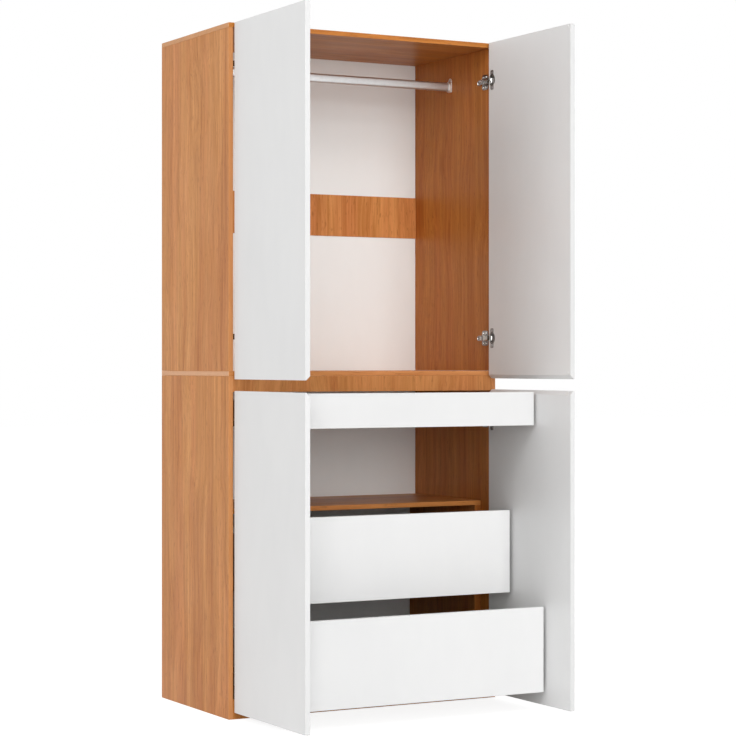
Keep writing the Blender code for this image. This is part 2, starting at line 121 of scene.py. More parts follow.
class Graph:
    """A node tree that is being laid out."""

    def __init__(self, tree: Tree) -> None:
        """Starts on a tree.

        Args:
            tree: The material's or the group's tree.
        """
        self.tree = tree

    def feed(self, socket: Socket, value: Feed) -> None:
        """Links a socket into another, or sets its constant.

        Args:
            socket: The input to fill.
            value: An output socket, or a number, vector or colour.
        """
        if isinstance(value, Socket):
            self.tree.links.new(value, socket)
        elif socket.type == "RGBA" and len(value) == 3:
            socket.default_value = (*value, 1.0)
        else:
            socket.default_value = value

    def add(self, kind: str, inputs: Optional[dict] = None, **settings: object) -> Node:
        """Adds a node.

        Args:
            kind: Blender's name for the node.
            inputs: What goes into its sockets, by name or place.
            settings: The node's own properties.

        Returns:
            The new node.
        """
        node = self.tree.nodes.new(kind)
        for name, value in settings.items():
            setattr(node, name, value)
        for name, value in (inputs or {}).items():
            self.feed(node.inputs[name], value)
        return node

    def math(self, operation: str, first: Feed, second: Feed = 0.0, clamp: bool = False) -> Socket:
        """Adds a Math node and returns its result."""
        node = self.add("ShaderNodeMath", {0: first, 1: second}, operation=operation, use_clamp=clamp)
        return node.outputs[0]

    def times(self, first: Feed, second: Feed) -> Socket:
        """The product of two values."""
        return self.math("MULTIPLY", first, second)

    def vector(self, operation: str, first: Feed, second: Feed) -> Socket:
        """Adds a Vector Math node and returns its result."""
        return self.add("ShaderNodeVectorMath", {0: first, 1: second}, operation=operation).outputs[0]

    def split(self, vector: Feed) -> list[Socket]:
        """The three parts of a vector."""
        return list(self.add("ShaderNodeSeparateXYZ", {0: vector}).outputs)

    def stretch(self, value: Feed, to: Point, low: float = 0.0, high: float = 1.0) -> Socket:
        """Maps a range of values to another, held at its ends.

        Args:
            value: What is mapped.
            to: What the two ends of the range become.
            low: Where the range starts.
            high: Where it ends.

        Returns:
            The mapped value.
        """
        inputs = {"Value": value, "From Min": low, "From Max": high, "To Min": to[0], "To Max": to[1]}
        return self.add("ShaderNodeMapRange", inputs).outputs["Result"]

    def blend(self, amount: Feed, first: Feed, second: Feed) -> Socket:
        """Mixes two colours by an amount and returns the colour."""
        inputs = {"Factor": amount, MIX_FIRST: first, MIX_SECOND: second}
        return self.add("ShaderNodeMix", inputs, data_type="RGBA").outputs[MIX_RESULT]

    def noise(self, vector: Feed, stretch: tuple, detail: float, roughness: float = 0.5) -> Socket:
        """Adds noise that is drawn out along the axes.

        Args:
            vector: Where the pattern is read.
            stretch: How often it changes in a metre, along each axis.
            detail: How many finer layers it has.
            roughness: How strong the finer layers are.

        Returns:
            The noise, from 0 to 1.
        """
        scaled = self.vector("MULTIPLY", vector, stretch)
        inputs = {"Vector": scaled, "Scale": 1.0, "Detail": detail, "Roughness": roughness}
        return self.add("ShaderNodeTexNoise", inputs).outputs[0]


def make_group(
    name: str,
    takes: dict[str, tuple[str, Feed]],
    gives: Iterable[str],
    lay_out: Callable[[Graph, Node], dict[str, Socket]],
) -> Tree:
    """Builds a shader node group.

    Args:
        name: The group's name.
        takes: Its inputs, each with a kind of socket and a default.
        gives: Its outputs, each a number.
        lay_out: What lays out its nodes and says what feeds each output.

    Returns:
        The group's tree.
    """
    tree = bpy.data.node_groups.new(name, "ShaderNodeTree")
    for label, (kind, default) in takes.items():
        socket = tree.interface.new_socket(label, in_out="INPUT", socket_type=kind)
        socket.default_value = default
    for label in gives:
        tree.interface.new_socket(label, in_out="OUTPUT", socket_type="NodeSocketFloat")
    graph = Graph(tree)
    source = graph.add("NodeGroupInput")
    target = graph.add("NodeGroupOutput")
    for label, socket in lay_out(graph, source).items():
        graph.feed(target.inputs[label], socket)
    return tree


VECTOR_INPUT = ("NodeSocketVector", (0.0, 0.0, 0.0))
FLECK_RANGE = (0.63, 0.72)
WOOD_GIVES = ("Tone", "Hue", "Fleck", "Height")


def lay_out_wood_grain(graph: Graph, source: Node) -> dict[str, Socket]:
    """Wood grain along Z: wavering fibres and streaks, broad bands of hue, and short dark flecks."""
    waver = graph.noise(source.outputs["Vector"], (5.0, 5.0, 2.4), 1.0)
    aside = graph.times(graph.math("SUBTRACT", waver, 0.5), 0.07)
    shift = graph.add("ShaderNodeCombineXYZ", {"X": aside, "Y": aside}).outputs[0]
    place = graph.vector("ADD", source.outputs["Vector"], shift)
    fibre = graph.noise(place, (150.0, 150.0, 3.4), 3.0, 0.6)
    streak = graph.noise(place, (42.0, 42.0, 0.9), 2.0)
    band = graph.noise(place, (12.0, 12.0, 0.5), 1.0)
    hue = graph.noise(place, (16.0, 16.0, 0.6), 2.0)
    fleck = graph.noise(place, (300.0, 300.0, 30.0), 1.0)
    tone = graph.times(hue, 0.2)
    for layer, weight in ((fibre, 1.45), (streak, 1.35), (band, 0.9)):
        tone = graph.math("ADD", tone, graph.times(layer, weight))
    return {
        "Tone": graph.math("SUBTRACT", tone, 1.45, clamp=True),
        "Hue": graph.stretch(hue, (0.0, 1.0), 0.36, 0.64),
        "Fleck": graph.stretch(fleck, (0.0, 1.0), *FLECK_RANGE),
        "Height": graph.math("SUBTRACT", fibre, graph.stretch(fleck, (0.0, 0.6), *FLECK_RANGE)),
    }


def lay_out_board_edge(graph: Graph, source: Node) -> dict[str, Socket]:
    """How near a point on a board is to one of its edges.

    On a face one of the three distances to the board's faces is zero, so the middle one of the three is
    the distance to the nearest edge.
    """
    place = source.outputs["Vector"]
    over_low = graph.split(graph.vector("SUBTRACT", place, source.outputs["Low"]))
    under_high = graph.split(graph.vector("SUBTRACT", source.outputs["High"], place))
    nearest = [graph.math("MINIMUM", over_low[axis], under_high[axis]) for axis in (X, Y, Z)]
    small = graph.math("MINIMUM", nearest[X], nearest[Y])
    large = graph.math("MAXIMUM", nearest[X], nearest[Y])
    middle = graph.math("MAXIMUM", small, graph.math("MINIMUM", large, nearest[Z]))
    share = graph.math("DIVIDE", middle, source.outputs["Width"])
    return {"Edge": graph.math("SUBTRACT", 1.0, share, clamp=True), "Distance": middle}


def lay_out_handling(graph: Graph, source: Node) -> dict[str, Socket]:
    """Faint clouds and smears of use, and the fine orange peel of a pressed laminate."""
    place = source.outputs["Vector"]
    cloud = graph.noise(place, (3.1, 3.1, 3.1), 3.0)
    smear = graph.noise(place, (19.0, 19.0, 7.0), 2.0)
    peel = graph.noise(place, (900.0, 900.0, 900.0), 1.0)
    mixed = graph.math("ADD", graph.times(cloud, 0.6), graph.times(smear, 0.4))
    return {"Smear": graph.stretch(mixed, (0.0, 1.0), 0.35, 0.65), "Peel": peel}


def lay_out_brushed(graph: Graph, source: Node) -> dict[str, Socket]:
    """Fine drawn lines along Z, with stains that dull the metal here and there."""
    place = source.outputs["Vector"]
    lines = graph.noise(place, (2600.0, 2600.0, 22.0), 2.0)
    stain = graph.noise(place, (60.0, 60.0, 60.0), 3.0, 0.6)
    return {"Lines": lines, "Stain": graph.stretch(stain, (0.0, 1.0), 0.42, 0.68)}


@dataclass(frozen=True)
class Effects:
    """The node groups that the finishes share."""

    wood_grain: Tree
    board_edge: Tree
    handling: Tree
    brushed: Tree

    @staticmethod
    def build() -> "Effects":
        """Builds each group once."""
        edge_takes = {
            "Vector": VECTOR_INPUT,
            "Low": VECTOR_INPUT,
            "High": VECTOR_INPUT,
            "Width": ("NodeSocketFloat", 0.002),
        }
        place = {"Vector": VECTOR_INPUT}
        return Effects(
            wood_grain=make_group("wood_grain", place, WOOD_GIVES, lay_out_wood_grain),
            board_edge=make_group("board_edge", edge_takes, ("Edge", "Distance"), lay_out_board_edge),
            handling=make_group("handling", place, ("Smear", "Peel"), lay_out_handling),
            brushed=make_group("brushed", place, ("Lines", "Stain"), lay_out_brushed),
        )


EFFECTS = Effects.build()


# How far a material's seed moves its pattern along each axis.
SEED_SHIFT = (1.7, 2.9, 4.3)
BUMP_STRENGTH = 0.6


class Surface:
    """A material that is being laid out, with its shader, its coordinates and its piece's edges."""

    def __init__(
        self, name: str, corners: Corners, edge_width: float, grain: Grain = Grain.UPRIGHT, seed: float = 0.0
    ) -> None:
        """Starts a material.

        Args:
            name: The material's name.
            corners: The lowest and highest corners of its piece.
            edge_width: How far in from an edge the wear, and on the wood foil the painted highlight, reaches.
            grain: Which way its pattern runs.
            seed: Moves its pattern, so that boards differ.
        """
        self.material = bpy.data.materials.new(name)
        self.material.use_nodes = True
        self.graph = Graph(self.material.node_tree)
        self.shader = self.material.node_tree.nodes["Principled BSDF"]
        self.spot = self.graph.add("ShaderNodeTexCoord").outputs
        shift = tuple(seed * share for share in SEED_SHIFT)
        mapping = {"Vector": self.spot["Object"], "Location": shift, "Rotation": grain.value}
        self.place = self.graph.add("ShaderNodeMapping", mapping).outputs[0]
        ends = {"Vector": self.spot["Object"], "Low": corners[0], "High": corners[1], "Width": edge_width}
        self.edge = self.effect(EFFECTS.board_edge, ends)

    def effect(self, tree: Tree, inputs: Optional[dict] = None) -> dict[str, Socket]:
        """Places one of the shared groups, read at this material's pattern unless told otherwise."""
        node = self.graph.add("ShaderNodeGroup", node_tree=tree)
        for name, value in {"Vector": self.place, **(inputs or {})}.items():
            self.graph.feed(node.inputs[name], value)
        return {output.name: output for output in node.outputs}

    def faces(self, axis: int, backwards: bool = True) -> Socket:
        """Where the surface faces along an axis.

        Args:
            axis: The axis.
            backwards: Whether the other way along it counts too.

        Returns:
            1 where it does, and else 0.
        """
        along = self.graph.split(self.spot["Normal"])[axis]
        if backwards:
            along = self.graph.math("ABSOLUTE", along)
        return self.graph.math("GREATER_THAN", along, 0.5)

    def wear_and_highlight(self, colour: Feed, worn_and_highlit: Colour, amount: float) -> Socket:
        """Blends a colour into another along the edges: wear, and on the wood foil also a painted highlight
        where rounded edges would catch the light.
        """
        return self.graph.blend(self.graph.times(self.edge["Edge"], amount), colour, worn_and_highlit)

    def finish(self, colour: Feed, rough: Feed, height: Feed, depth: float, **constants: float) -> Material:
        """Feeds the shader.

        Args:
            colour: The base colour.
            rough: The roughness.
            height: The height of the surface's relief.
            depth: How deep the relief is, in metres.
            constants: Other sockets of the shader, with underscores for spaces.

        Returns:
            The finished material.
        """
        relief = {"Height": height, "Distance": depth, "Strength": BUMP_STRENGTH}
        bump = self.graph.add("ShaderNodeBump", relief)
        fed = {"Base Color": colour, "Roughness": rough, "Normal": bump.outputs[0]}
        for name, value in {**fed, **constants}.items():
            self.graph.feed(self.shader.inputs[name.replace("_", " ")], value)
        return self.material


def tinted(colour: Colour, shading_tint: Colour) -> Colour:
    """A colour times a tint that paints light or shade onto it."""
    return tuple(part * share for part, share in zip(colour, shading_tint))


@dataclass(frozen=True)
class WoodFoil:
    """Red-brown wood foil with a satin sheen, in bands of a pinker and a yellower brown."""

    grain: Grain
    seed: float
    # Painted light and shade: the tint makes a board paler and less saturated where it faces the lamps, and
    # darker where it lies in shade.
    shading_tint: Colour = (1.0, 1.0, 1.0)
    tape: Colour = (0.68, 0.37, 0.19)
    taped: int = X
    tape_share: float = 0.0
    light: Colour = (0.548, 0.200, 0.049)
    dark: Colour = (0.345, 0.108, 0.0198)
    ochre_light: Colour = (0.557, 0.227, 0.054)
    ochre_dark: Colour = (0.352, 0.120, 0.0208)
    fleck: Colour = (0.165, 0.047, 0.009)
    fleck_share: float = 0.4
    # Painted highlight: the edges blend towards this paler brown, partly wear and partly the light that
    # rounded edges would catch.
    worn_and_highlit: Colour = (0.64, 0.29, 0.10)
    edge_width: float = 0.0022
    edge_wear_and_highlight: float = 0.3
    edge_dulling: float = 0.12
    sheen: Point = (0.33, 0.44)
    gloss: float = 0.16
    relief: float = 0.00012

    def material(self, name: str, corners: Corners) -> Material:
        """The finish for one board between two corners."""
        surface = Surface(name, corners, self.edge_width, self.grain, self.seed)
        graph = surface.graph
        grain = surface.effect(EFFECTS.wood_grain)
        hues = []
        for pair in ((self.dark, self.light), (self.ochre_dark, self.ochre_light)):
            hues.append(graph.blend(grain["Tone"], *(tinted(colour, self.shading_tint) for colour in pair)))
        colour = graph.blend(grain["Hue"], *hues)
        colour = graph.blend(graph.times(grain["Fleck"], self.fleck_share), colour, self.fleck)
        if self.tape_share > 0:
            colour = graph.blend(graph.times(surface.faces(self.taped), self.tape_share), colour, self.tape)
        colour = surface.wear_and_highlight(colour, self.worn_and_highlit, self.edge_wear_and_highlight)
        sheen = graph.stretch(surface.effect(EFFECTS.handling)["Smear"], self.sheen)
        rough = graph.math("ADD", sheen, graph.times(surface.edge["Edge"], self.edge_dulling))
        return surface.finish(colour, rough, grain["Height"], self.relief, Specular_IOR_Level=self.gloss)


@dataclass(frozen=True)
class WhiteLaminate:
    """White laminate with banded edges, on the doors and the drawer fronts.

    The joint between the face and the band is a thin line. It starts, is full and fades between the four
    distances from the board's edge in joint_line.
    """

    seed: float
    colour: Colour = (0.74, 0.74, 0.738)
    shade: Colour = (0.722, 0.723, 0.722)
    joint: Colour = (0.60, 0.59, 0.57)
    joint_line: tuple[float, float, float, float] = (0.0009, 0.0011, 0.0012, 0.0015)
    joint_share: float = 0.5
    # Painted light: the lift scales the face's white and the band's lift the edge band's, painting one door or
    # drawer front lighter or darker for how it is lit.
    lift: float = 1.0
    tape_painted_light_lift: float = 1.0
    edge_width: float = 0.003
    sheen: Point = (0.36, 0.47)
    relief: float = 0.00004

    def material(self, name: str, corners: Corners) -> Material:
        """The finish for one board between two corners."""
        surface = Surface(name, corners, self.edge_width, seed=self.seed)
        graph = surface.graph
        handling = surface.effect(EFFECTS.handling)
        past = graph.stretch(surface.edge["Distance"], (0.0, 1.0), *self.joint_line[:2])
        before = graph.stretch(surface.edge["Distance"], (1.0, 0.0), *self.joint_line[2:])
        line = graph.times(graph.times(past, before), self.joint_share)
        tones = []
        # Painted light: the face and the edge band are scaled into lighter or darker copies of the same white.
        for lift in (self.lift, self.tape_painted_light_lift):
            pair = (tinted(colour, (lift, lift, lift)) for colour in (self.colour, self.shade))
            tones.append(graph.blend(handling["Smear"], *pair))
        colour = graph.blend(line, graph.blend(surface.faces(Y), *tones), self.joint)
        rough = graph.stretch(handling["Smear"], self.sheen)
        return surface.finish(colour, rough, graph.math("SUBTRACT", handling["Peel"], line), self.relief)


@dataclass(frozen=True)
class BackBoard:
    """Thin hardboard, white towards the inside and raw brown fibre towards the wall."""

    seed: float
    colour: Colour = (0.88, 0.905, 0.90)
    shade: Colour = (0.86, 0.882, 0.875)
    raw: Colour = (0.33, 0.205, 0.115)
    raw_dark: Colour = (0.22, 0.13, 0.07)
    fibres: Triple = (420.0, 420.0, 380.0)
    edge_width: float = 0.004
    edge_wear_and_highlight: float = 0.2
    sheen: Point = (0.52, 0.85)
    relief: float = 0.00008

    def material(self, name: str, corners: Corners) -> Material:
        """The finish for one panel between two corners."""
        surface = Surface(name, corners, self.edge_width, seed=self.seed)
        graph = surface.graph
        fibre = graph.noise(surface.place, self.fibres, 3.0, 0.7)
        white = graph.blend(surface.effect(EFFECTS.handling)["Smear"], self.colour, self.shade)
        white = surface.wear_and_highlight(white, self.shade, self.edge_wear_and_highlight)
        brown = graph.blend(graph.stretch(fibre, (0.0, 1.0), 0.35, 0.65), self.raw_dark, self.raw)
        behind = surface.faces(Y, backwards=False)
        rough = graph.stretch(behind, self.sheen)
        return surface.finish(graph.blend(behind, white, brown), rough, fibre, self.relief)


@dataclass(frozen=True)
class DrawerBoard:
    """Pale grey-white board of the drawer boxes, with a fine linen print."""

    grain: Grain
    seed: float
    colour: Colour = (0.69, 0.668, 0.64)
    thread: Colour = (0.62, 0.598, 0.57)
    warp: Triple = (620.0, 620.0, 45.0)
    weft: Triple = (45.0, 620.0, 620.0)
    edge_width: float = 0.002
    edge_wear_and_highlight: float = 0.3
    sheen: Point = (0.45, 0.6)
    relief: float = 0.00008

    def material(self, name: str, corners: Corners) -> Material:
        """The finish for one board between two corners."""
        surface = Surface(name, corners, self.edge_width, self.grain, self.seed)
        graph = surface.graph
        linen = graph.times(*(graph.noise(surface.place, run, 2.0) for run in (self.warp, self.weft)))
        colour = graph.blend(graph.stretch(linen, (0.0, 1.0), 0.16, 0.34), self.colour, self.thread)
        colour = surface.wear_and_highlight(colour, self.thread, self.edge_wear_and_highlight)
        rough = graph.stretch(surface.effect(EFFECTS.handling)["Smear"], self.sheen)
        return surface.finish(colour, rough, linen, self.relief)


@dataclass(frozen=True)
class Metal:
    """A plain or plated metal with drawn lines and dull stains."""

    grain: Grain
    colour: Colour
    stain: Colour
    roughness: float
    stain_share: float = 0.6
    stain_dulling: float = 0.12
    line_sheen: Point = (-0.06, 0.06)
    edge_width: float = 0.0015
    edge_wear_and_highlight: float = 0.25
    relief: float = 0.00002

    def material(self, name: str, corners: Corners) -> Material:
        """The finish for one piece between two corners."""
        surface = Surface(name, corners, self.edge_width, self.grain)
        graph = surface.graph
        brushed = surface.effect(EFFECTS.brushed)
        colour = graph.blend(graph.times(brushed["Stain"], self.stain_share), self.colour, self.stain)
        colour = surface.wear_and_highlight(colour, self.stain, self.edge_wear_and_highlight)
        lined = graph.stretch(brushed["Lines"], self.line_sheen, 0.3, 0.7)
        dulled = graph.math("ADD", lined, graph.times(brushed["Stain"], self.stain_dulling))
        rough = graph.math("ADD", dulled, self.roughness, clamp=True)
        return surface.finish(colour, rough, brushed["Lines"], self.relief, Metallic=1.0)


@dataclass(frozen=True)
class Plastic:
    """Moulded plastic with a fine spark-eroded skin."""

    colour: Colour
    shade: Colour
    roughness: float
    sheen: Point = (-0.05, 0.08)
    edge_width: float = 0.001
    edge_wear_and_highlight: float = 0.3
    relief: float = 0.00006

    def material(self, name: str, corners: Corners) -> Material:
        """The finish for one piece between two corners."""
        surface = Surface(name, corners, self.edge_width)
        graph = surface.graph
        handling = surface.effect(EFFECTS.handling)
        colour = graph.blend(handling["Smear"], self.colour, self.shade)
        colour = surface.wear_and_highlight(colour, self.shade, self.edge_wear_and_highlight)
        smoother, duller = (self.roughness + change for change in self.sheen)
        rough = graph.stretch(handling["Smear"], (smoother, duller))
        return surface.finish(colour, rough, handling["Peel"], self.relief)


Finish = Union[WoodFoil, WhiteLaminate, BackBoard, DrawerBoard, Metal, Plastic]

ALUMINIUM = Metal(Grain.ACROSS, colour=(0.66, 0.668, 0.672), stain=(0.61, 0.615, 0.617), roughness=0.42)
CAST_ZINC = Metal(Grain.UPRIGHT, colour=(0.86, 0.84, 0.82), stain=(0.74, 0.72, 0.70), roughness=0.48)
NICKEL = Metal(Grain.DEEP, colour=(0.50, 0.485, 0.465), stain=(0.24, 0.233, 0.222), roughness=0.2)
DARK_NICKEL = Metal(Grain.DEEP, colour=(0.34, 0.33, 0.32), stain=(0.17, 0.165, 0.16), roughness=0.24)
DARK_STEEL = Metal(Grain.DEEP, colour=(0.22, 0.215, 0.21), stain=(0.11, 0.105, 0.10), roughness=0.32)
# Painted shade: the hook, the outer link and its saddle take this near-black to stand for the shade round the
# hinge arm's foot and tongue.
SHADE_BLACK_STEEL = Metal(Grain.DEEP, colour=(0.05, 0.037, 0.026), stain=(0.03, 0.022, 0.016), roughness=0.42)
ZINC_STEEL = Metal(Grain.DEEP, colour=(0.62, 0.63, 0.65), stain=(0.42, 0.43, 0.45), roughness=0.33)
BRIGHT_ZINC = Metal(Grain.DEEP, colour=(0.90, 0.89, 0.87), stain=(0.66, 0.65, 0.63), roughness=0.14)
WHITE_PLASTIC = Plastic(colour=(0.78, 0.78, 0.765), shade=(0.66, 0.66, 0.64), roughness=0.4)
PAD_PLASTIC = Plastic(colour=(0.74, 0.74, 0.736), shade=(0.70, 0.70, 0.695), roughness=0.5)


def centre(node: str, axis: int) -> float:
    """Where the middle of a node's box lies along an axis."""
    low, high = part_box(node)
    return (low[axis] + high[axis]) / 2


def shape_corners(item: Item) -> Corners:
    """The lowest and highest corners of a piece whose place is in its mesh."""
    points = [vert.co for vert in item.data.vertices]
    low = Vector(min(point[axis] for point in points) for axis in (X, Y, Z))
    high = Vector(max(point[axis] for point in points) for axis in (X, Y, Z))
    return low, high


def dress_node(name: str, finish: Finish) -> None:
    """Gives a CAD node its finish.

    Args:
        name: The node.
        finish: What it is finished in.
    """
    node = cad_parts[name]
    node.data.materials.clear()
    node.data.materials.append(finish.material(name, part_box(name)))
    log.info("dressed %s", name)


def make_mesh(shape: Shape, name: str) -> bpy.types.Mesh:
    """Turns a shape into a mesh and frees the shape."""
    mesh = bpy.data.meshes.new(name)
    shape.to_mesh(mesh)
    shape.free()
    return mesh


def add_object(name: str, data: bpy.types.ID) -> Item:
    """Puts a new object with its data in the scene."""
    item = bpy.data.objects.new(name, data)
    bpy.context.scene.collection.objects.link(item)
    return item


def add_piece(shape: Shape, name: str, finish: Finish, body: str) -> Item:
    """Turns a finished shape into a piece of the wardrobe.

    Args:
        shape: The shape, in place.
        name: The piece's name.
        finish: What it is finished in.
        body: The CAD body that it rides on.

    Returns:
        The new object.
    """
    bmesh.ops.remove_doubles(shape, verts=shape.verts, dist=NEAR)
    bmesh.ops.recalc_face_normals(shape, faces=shape.faces)
    mesh = make_mesh(shape, name)
    mesh.shade_smooth()
    mesh.set_sharp_from_angle(angle=SMOOTH_UNDER)
    item = add_object(name, mesh)
    mesh.materials.append(finish.material(name, shape_corners(item)))
    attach(item, body)
    log.info("built %s with %d faces", name, len(mesh.polygons))
    return item


def gather(shapes: Iterable[Shape]) -> Shape:
    """Joins shapes into one, which keeps them as separate shells."""
    whole = bmesh.new()
    for shape in shapes:
        mesh = make_mesh(shape, "part")
        whole.from_mesh(mesh)
        bpy.data.meshes.remove(mesh)
    return whole


def move(shape: Shape, matrix: Matrix) -> Shape:
    """Moves a whole shape by a matrix and returns it."""
    bmesh.ops.transform(shape, matrix=matrix, verts=shape.verts)
    return shape


def mirrored(shape: Shape) -> Shape:
    """Mirrors a shape to the other side of the wardrobe and returns it."""
    move(shape, Matrix.Scale(-1, 4, ACROSS))
    bmesh.ops.recalc_face_normals(shape, faces=shape.faces)
    return shape


def bevel_edges(shape: Shape, edges: Edges, width: float, segments: int) -> None:
    """Rounds some edges of a shape."""
    bmesh.ops.bevel(
        shape, geom=edges, offset=width, segments=segments, profile=0.5, affect="EDGES", material=-1
    )


def sharp_edges(shape: Shape) -> Edges:
    """The edges of a shape where it turns sharply."""
    return [edge for edge in shape.edges if len(edge.link_faces) == 2 and edge.calc_face_angle() > SHARP_OVER]


def open_edges(shape: Shape) -> Edges:
    """The edges of a shape that have one face only."""
    return [edge for edge in shape.edges if edge.is_boundary]


def new_verts(extruded: dict) -> list[bmesh.types.BMVert]:
    """The vertices that an extrusion made."""
    return [part for part in extruded["geom"] if isinstance(part, bmesh.types.BMVert)]


def prism(outline: Iterable[tuple], along: Vector, rounding: float = 0.0, segments: int = 2) -> Shape:
    """Extrudes an outline and rounds its edges.

    Args:
        outline: The points of the outline, in order.
        along: How far and which way it is extruded.
        rounding: The radius of its edges.
        segments: How finely they are rounded.

    Returns:
        The shape.
    """
    shape = bmesh.new()
    face = shape.faces.new([shape.verts.new(point) for point in outline])
    extruded = bmesh.ops.extrude_face_region(shape, geom=[face])
    bmesh.ops.translate(shape, verts=new_verts(extruded), vec=along)
    bmesh.ops.recalc_face_normals(shape, faces=shape.faces)
    if rounding > 0:
        bevel_edges(shape, sharp_edges(shape), rounding, segments)
    return shape


def slab(outline: Iterable[Point], half: float, rounding: float = 0.0, segments: int = 2) -> Shape:
    """A prism along Z that reaches as far over the plane Z = 0 as under it.

    Args:
        outline: Its outline along X and Y.
        half: How far it reaches.
        rounding: The radius of its edges.
        segments: How finely they are rounded.

    Returns:
        The shape.
    """
    return prism([(*point, -half) for point in outline], 2 * half * UP, rounding, segments)


def turned(profile: Iterable[Point], steps: int) -> Shape:
    """Turns a profile of radius and height round Z, closed where the radius is zero.

    Args:
        profile: The points of the profile.
        steps: How many steps the full turn has.

    Returns:
        The shape.
    """
    shape = bmesh.new()
    verts = [shape.verts.new((radius, 0.0, height)) for radius, height in profile]
    edges = [shape.edges.new(pair) for pair in zip(verts, verts[1:])]
    bmesh.ops.spin(
        shape, geom=verts + edges, cent=(0, 0, 0), axis=UP, angle=FULL_TURN, steps=steps, use_merge=True
    )
    bmesh.ops.remove_doubles(shape, verts=shape.verts, dist=NEAR)
    return shape


def rounded_end(low: Point, high: Point, corner: float) -> list[Point]:
    """The outline of a tab, square at its root and round at the two corners of its far end.

    Args:
        low: The least across and the root.
        high: The most across and the far end.
        corner: The radius of the far corners.

    Returns:
        The points, from one end of the root to the other.
    """
    points = [(low[0], low[1])]
    steps = 5
    for middle, start in ((low[0] + corner, math.pi), (high[0] - corner, math.pi / 2)):
        for step in range(steps + 1):
            turn = start - QUARTER_TURN * step / steps
            points.append((middle + corner * math.cos(turn), high[1] - corner + corner * math.sin(turn)))
    points.append((high[0], low[1]))
    return points


def facing(place: Vector, normal: Vector) -> Matrix:
    """The matrix that stands a shape built along Z on a place, along a normal."""
    return Matrix.Translation(place) @ UP.rotation_difference(normal).to_matrix().to_4x4()


# A screw head's cross and rim, as shares of its radius and its height.
CROSS_REACH = 0.52
CROSS_ARM = 0.3 * CROSS_REACH
CROSS_DEPTH = 0.6
TOP_RADIUS = 0.86
RIM_STEPS = ((0.25, 1.16), (0.75, 1.0))
HEAD_SEGMENTS = 12
OVAL_SEGMENTS = 40


def screw_head(radius: float, height: float) -> Shape:
    """A low screw head with a sunk cross, standing on the plane Z = 0.

    Args:
        radius: The head's radius.
        height: How far it stands proud.

    Returns:
        The shape.
    """
    shape = bmesh.new()
    reach = CROSS_REACH * radius
    arm = CROSS_ARM * radius
    bmesh.ops.create_grid(shape, x_segments=3, y_segments=3, size=reach)
    for vert in shape.verts:
        for axis in (X, Y):
            inner = abs(vert.co[axis]) < reach / 2
            vert.co[axis] = math.copysign(arm if inner else reach, vert.co[axis])
    rim = open_edges(shape)
    cross = [face for face in shape.faces if min(abs(part) for part in face.calc_center_median()[:2]) < arm]
    ring = bmesh.ops.create_circle(shape, cap_ends=False, segments=HEAD_SEGMENTS, radius=radius * TOP_RADIUS)
    outer = [edge for edge in shape.edges if edge.is_wire]
    half_step = Matrix.Rotation(FULL_TURN / HEAD_SEGMENTS / 2, 3, "Z")
    bmesh.ops.rotate(shape, verts=ring["verts"], cent=(0, 0, 0), matrix=half_step)
    bmesh.ops.bridge_loops(shape, edges=rim + outer)
    sunk = bmesh.ops.extrude_face_region(shape, geom=cross)
    bmesh.ops.translate(shape, verts=new_verts(sunk), vec=-CROSS_DEPTH * height * UP)
    bmesh.ops.delete(shape, geom=[face for face in cross if face.is_valid], context="FACES_ONLY")
    for drop, spread in RIM_STEPS:
        verts = new_verts(bmesh.ops.extrude_edge_only(shape, edges=open_edges(shape)))
        bmesh.ops.translate(shape, verts=verts, vec=-drop * height * UP)
        bmesh.ops.scale(shape, verts=verts, vec=(spread, spread, 1.0))
    bmesh.ops.contextual_create(shape, geom=open_edges(shape))
    bmesh.ops.translate(shape, verts=shape.verts, vec=height * UP)
    return shape


def screw_heads(places: Iterable[tuple[Vector, Vector]], radius: float, height: float) -> Shape:
    """Several screw heads as one shape.

    Args:
        places: Where each one stands, with the direction it faces.
        radius: Their radius.
        height: How far they stand proud.

    Returns:
        The shape.
    """
    return gather(move(screw_head(radius, height), facing(place, normal)) for place, normal in places)


def oval_rings(width: float, height: float, wall: float, length: float) -> Shape:
    """A hollow oval tube along Z that starts at the plane Z = 0.

    Args:
        width: Its outer size along X.
        height: Its outer size along Y.
        wall: The thickness of its wall.
        length: Its length.

    Returns:
        The shape.
    """
    shape = bmesh.new()
    lift = (height - width) / 2
    for radius in (width / 2, width / 2 - wall):
        ring = bmesh.ops.create_circle(shape, cap_ends=False, segments=OVAL_SEGMENTS, radius=radius)
        for vert in ring["verts"]:
            vert.co.y += math.copysign(lift, vert.co.y) if abs(vert.co.y) > NEAR else 0.0
    bmesh.ops.bridge_loops(shape, edges=shape.edges[:])
    extruded = bmesh.ops.extrude_face_region(shape, geom=shape.faces[:])
    bmesh.ops.translate(shape, verts=new_verts(extruded), vec=length * UP)
    return shape


TAPE_SHARE = 0.6
# Painted light: the lower storey's edge tape is painted lighter than the upper's, to make up for the less
# light that reaches the lower front edges.
SIDE_TAPES = {Storey.UPPER: (0.54, 0.236, 0.093), Storey.LOWER: (0.6, 0.262, 0.105)}
# Painted shade: these tints darken the inner faces of the right sides and the uprights, which lie in shade.
INNER_SHADE_TINT = (0.98, 0.93, 0.81)
UPRIGHT_SHADE_TINT = (0.85, 0.75, 0.65)


def side_foil(storey: Storey, seed: float, shading_tint: Colour) -> WoodFoil:
    """The foil of one side of the case, with its front and back edges taped."""
    return WoodFoil(Grain.UPRIGHT, seed, shading_tint, SIDE_TAPES[storey], taped=Y, tape_share=TAPE_SHARE)
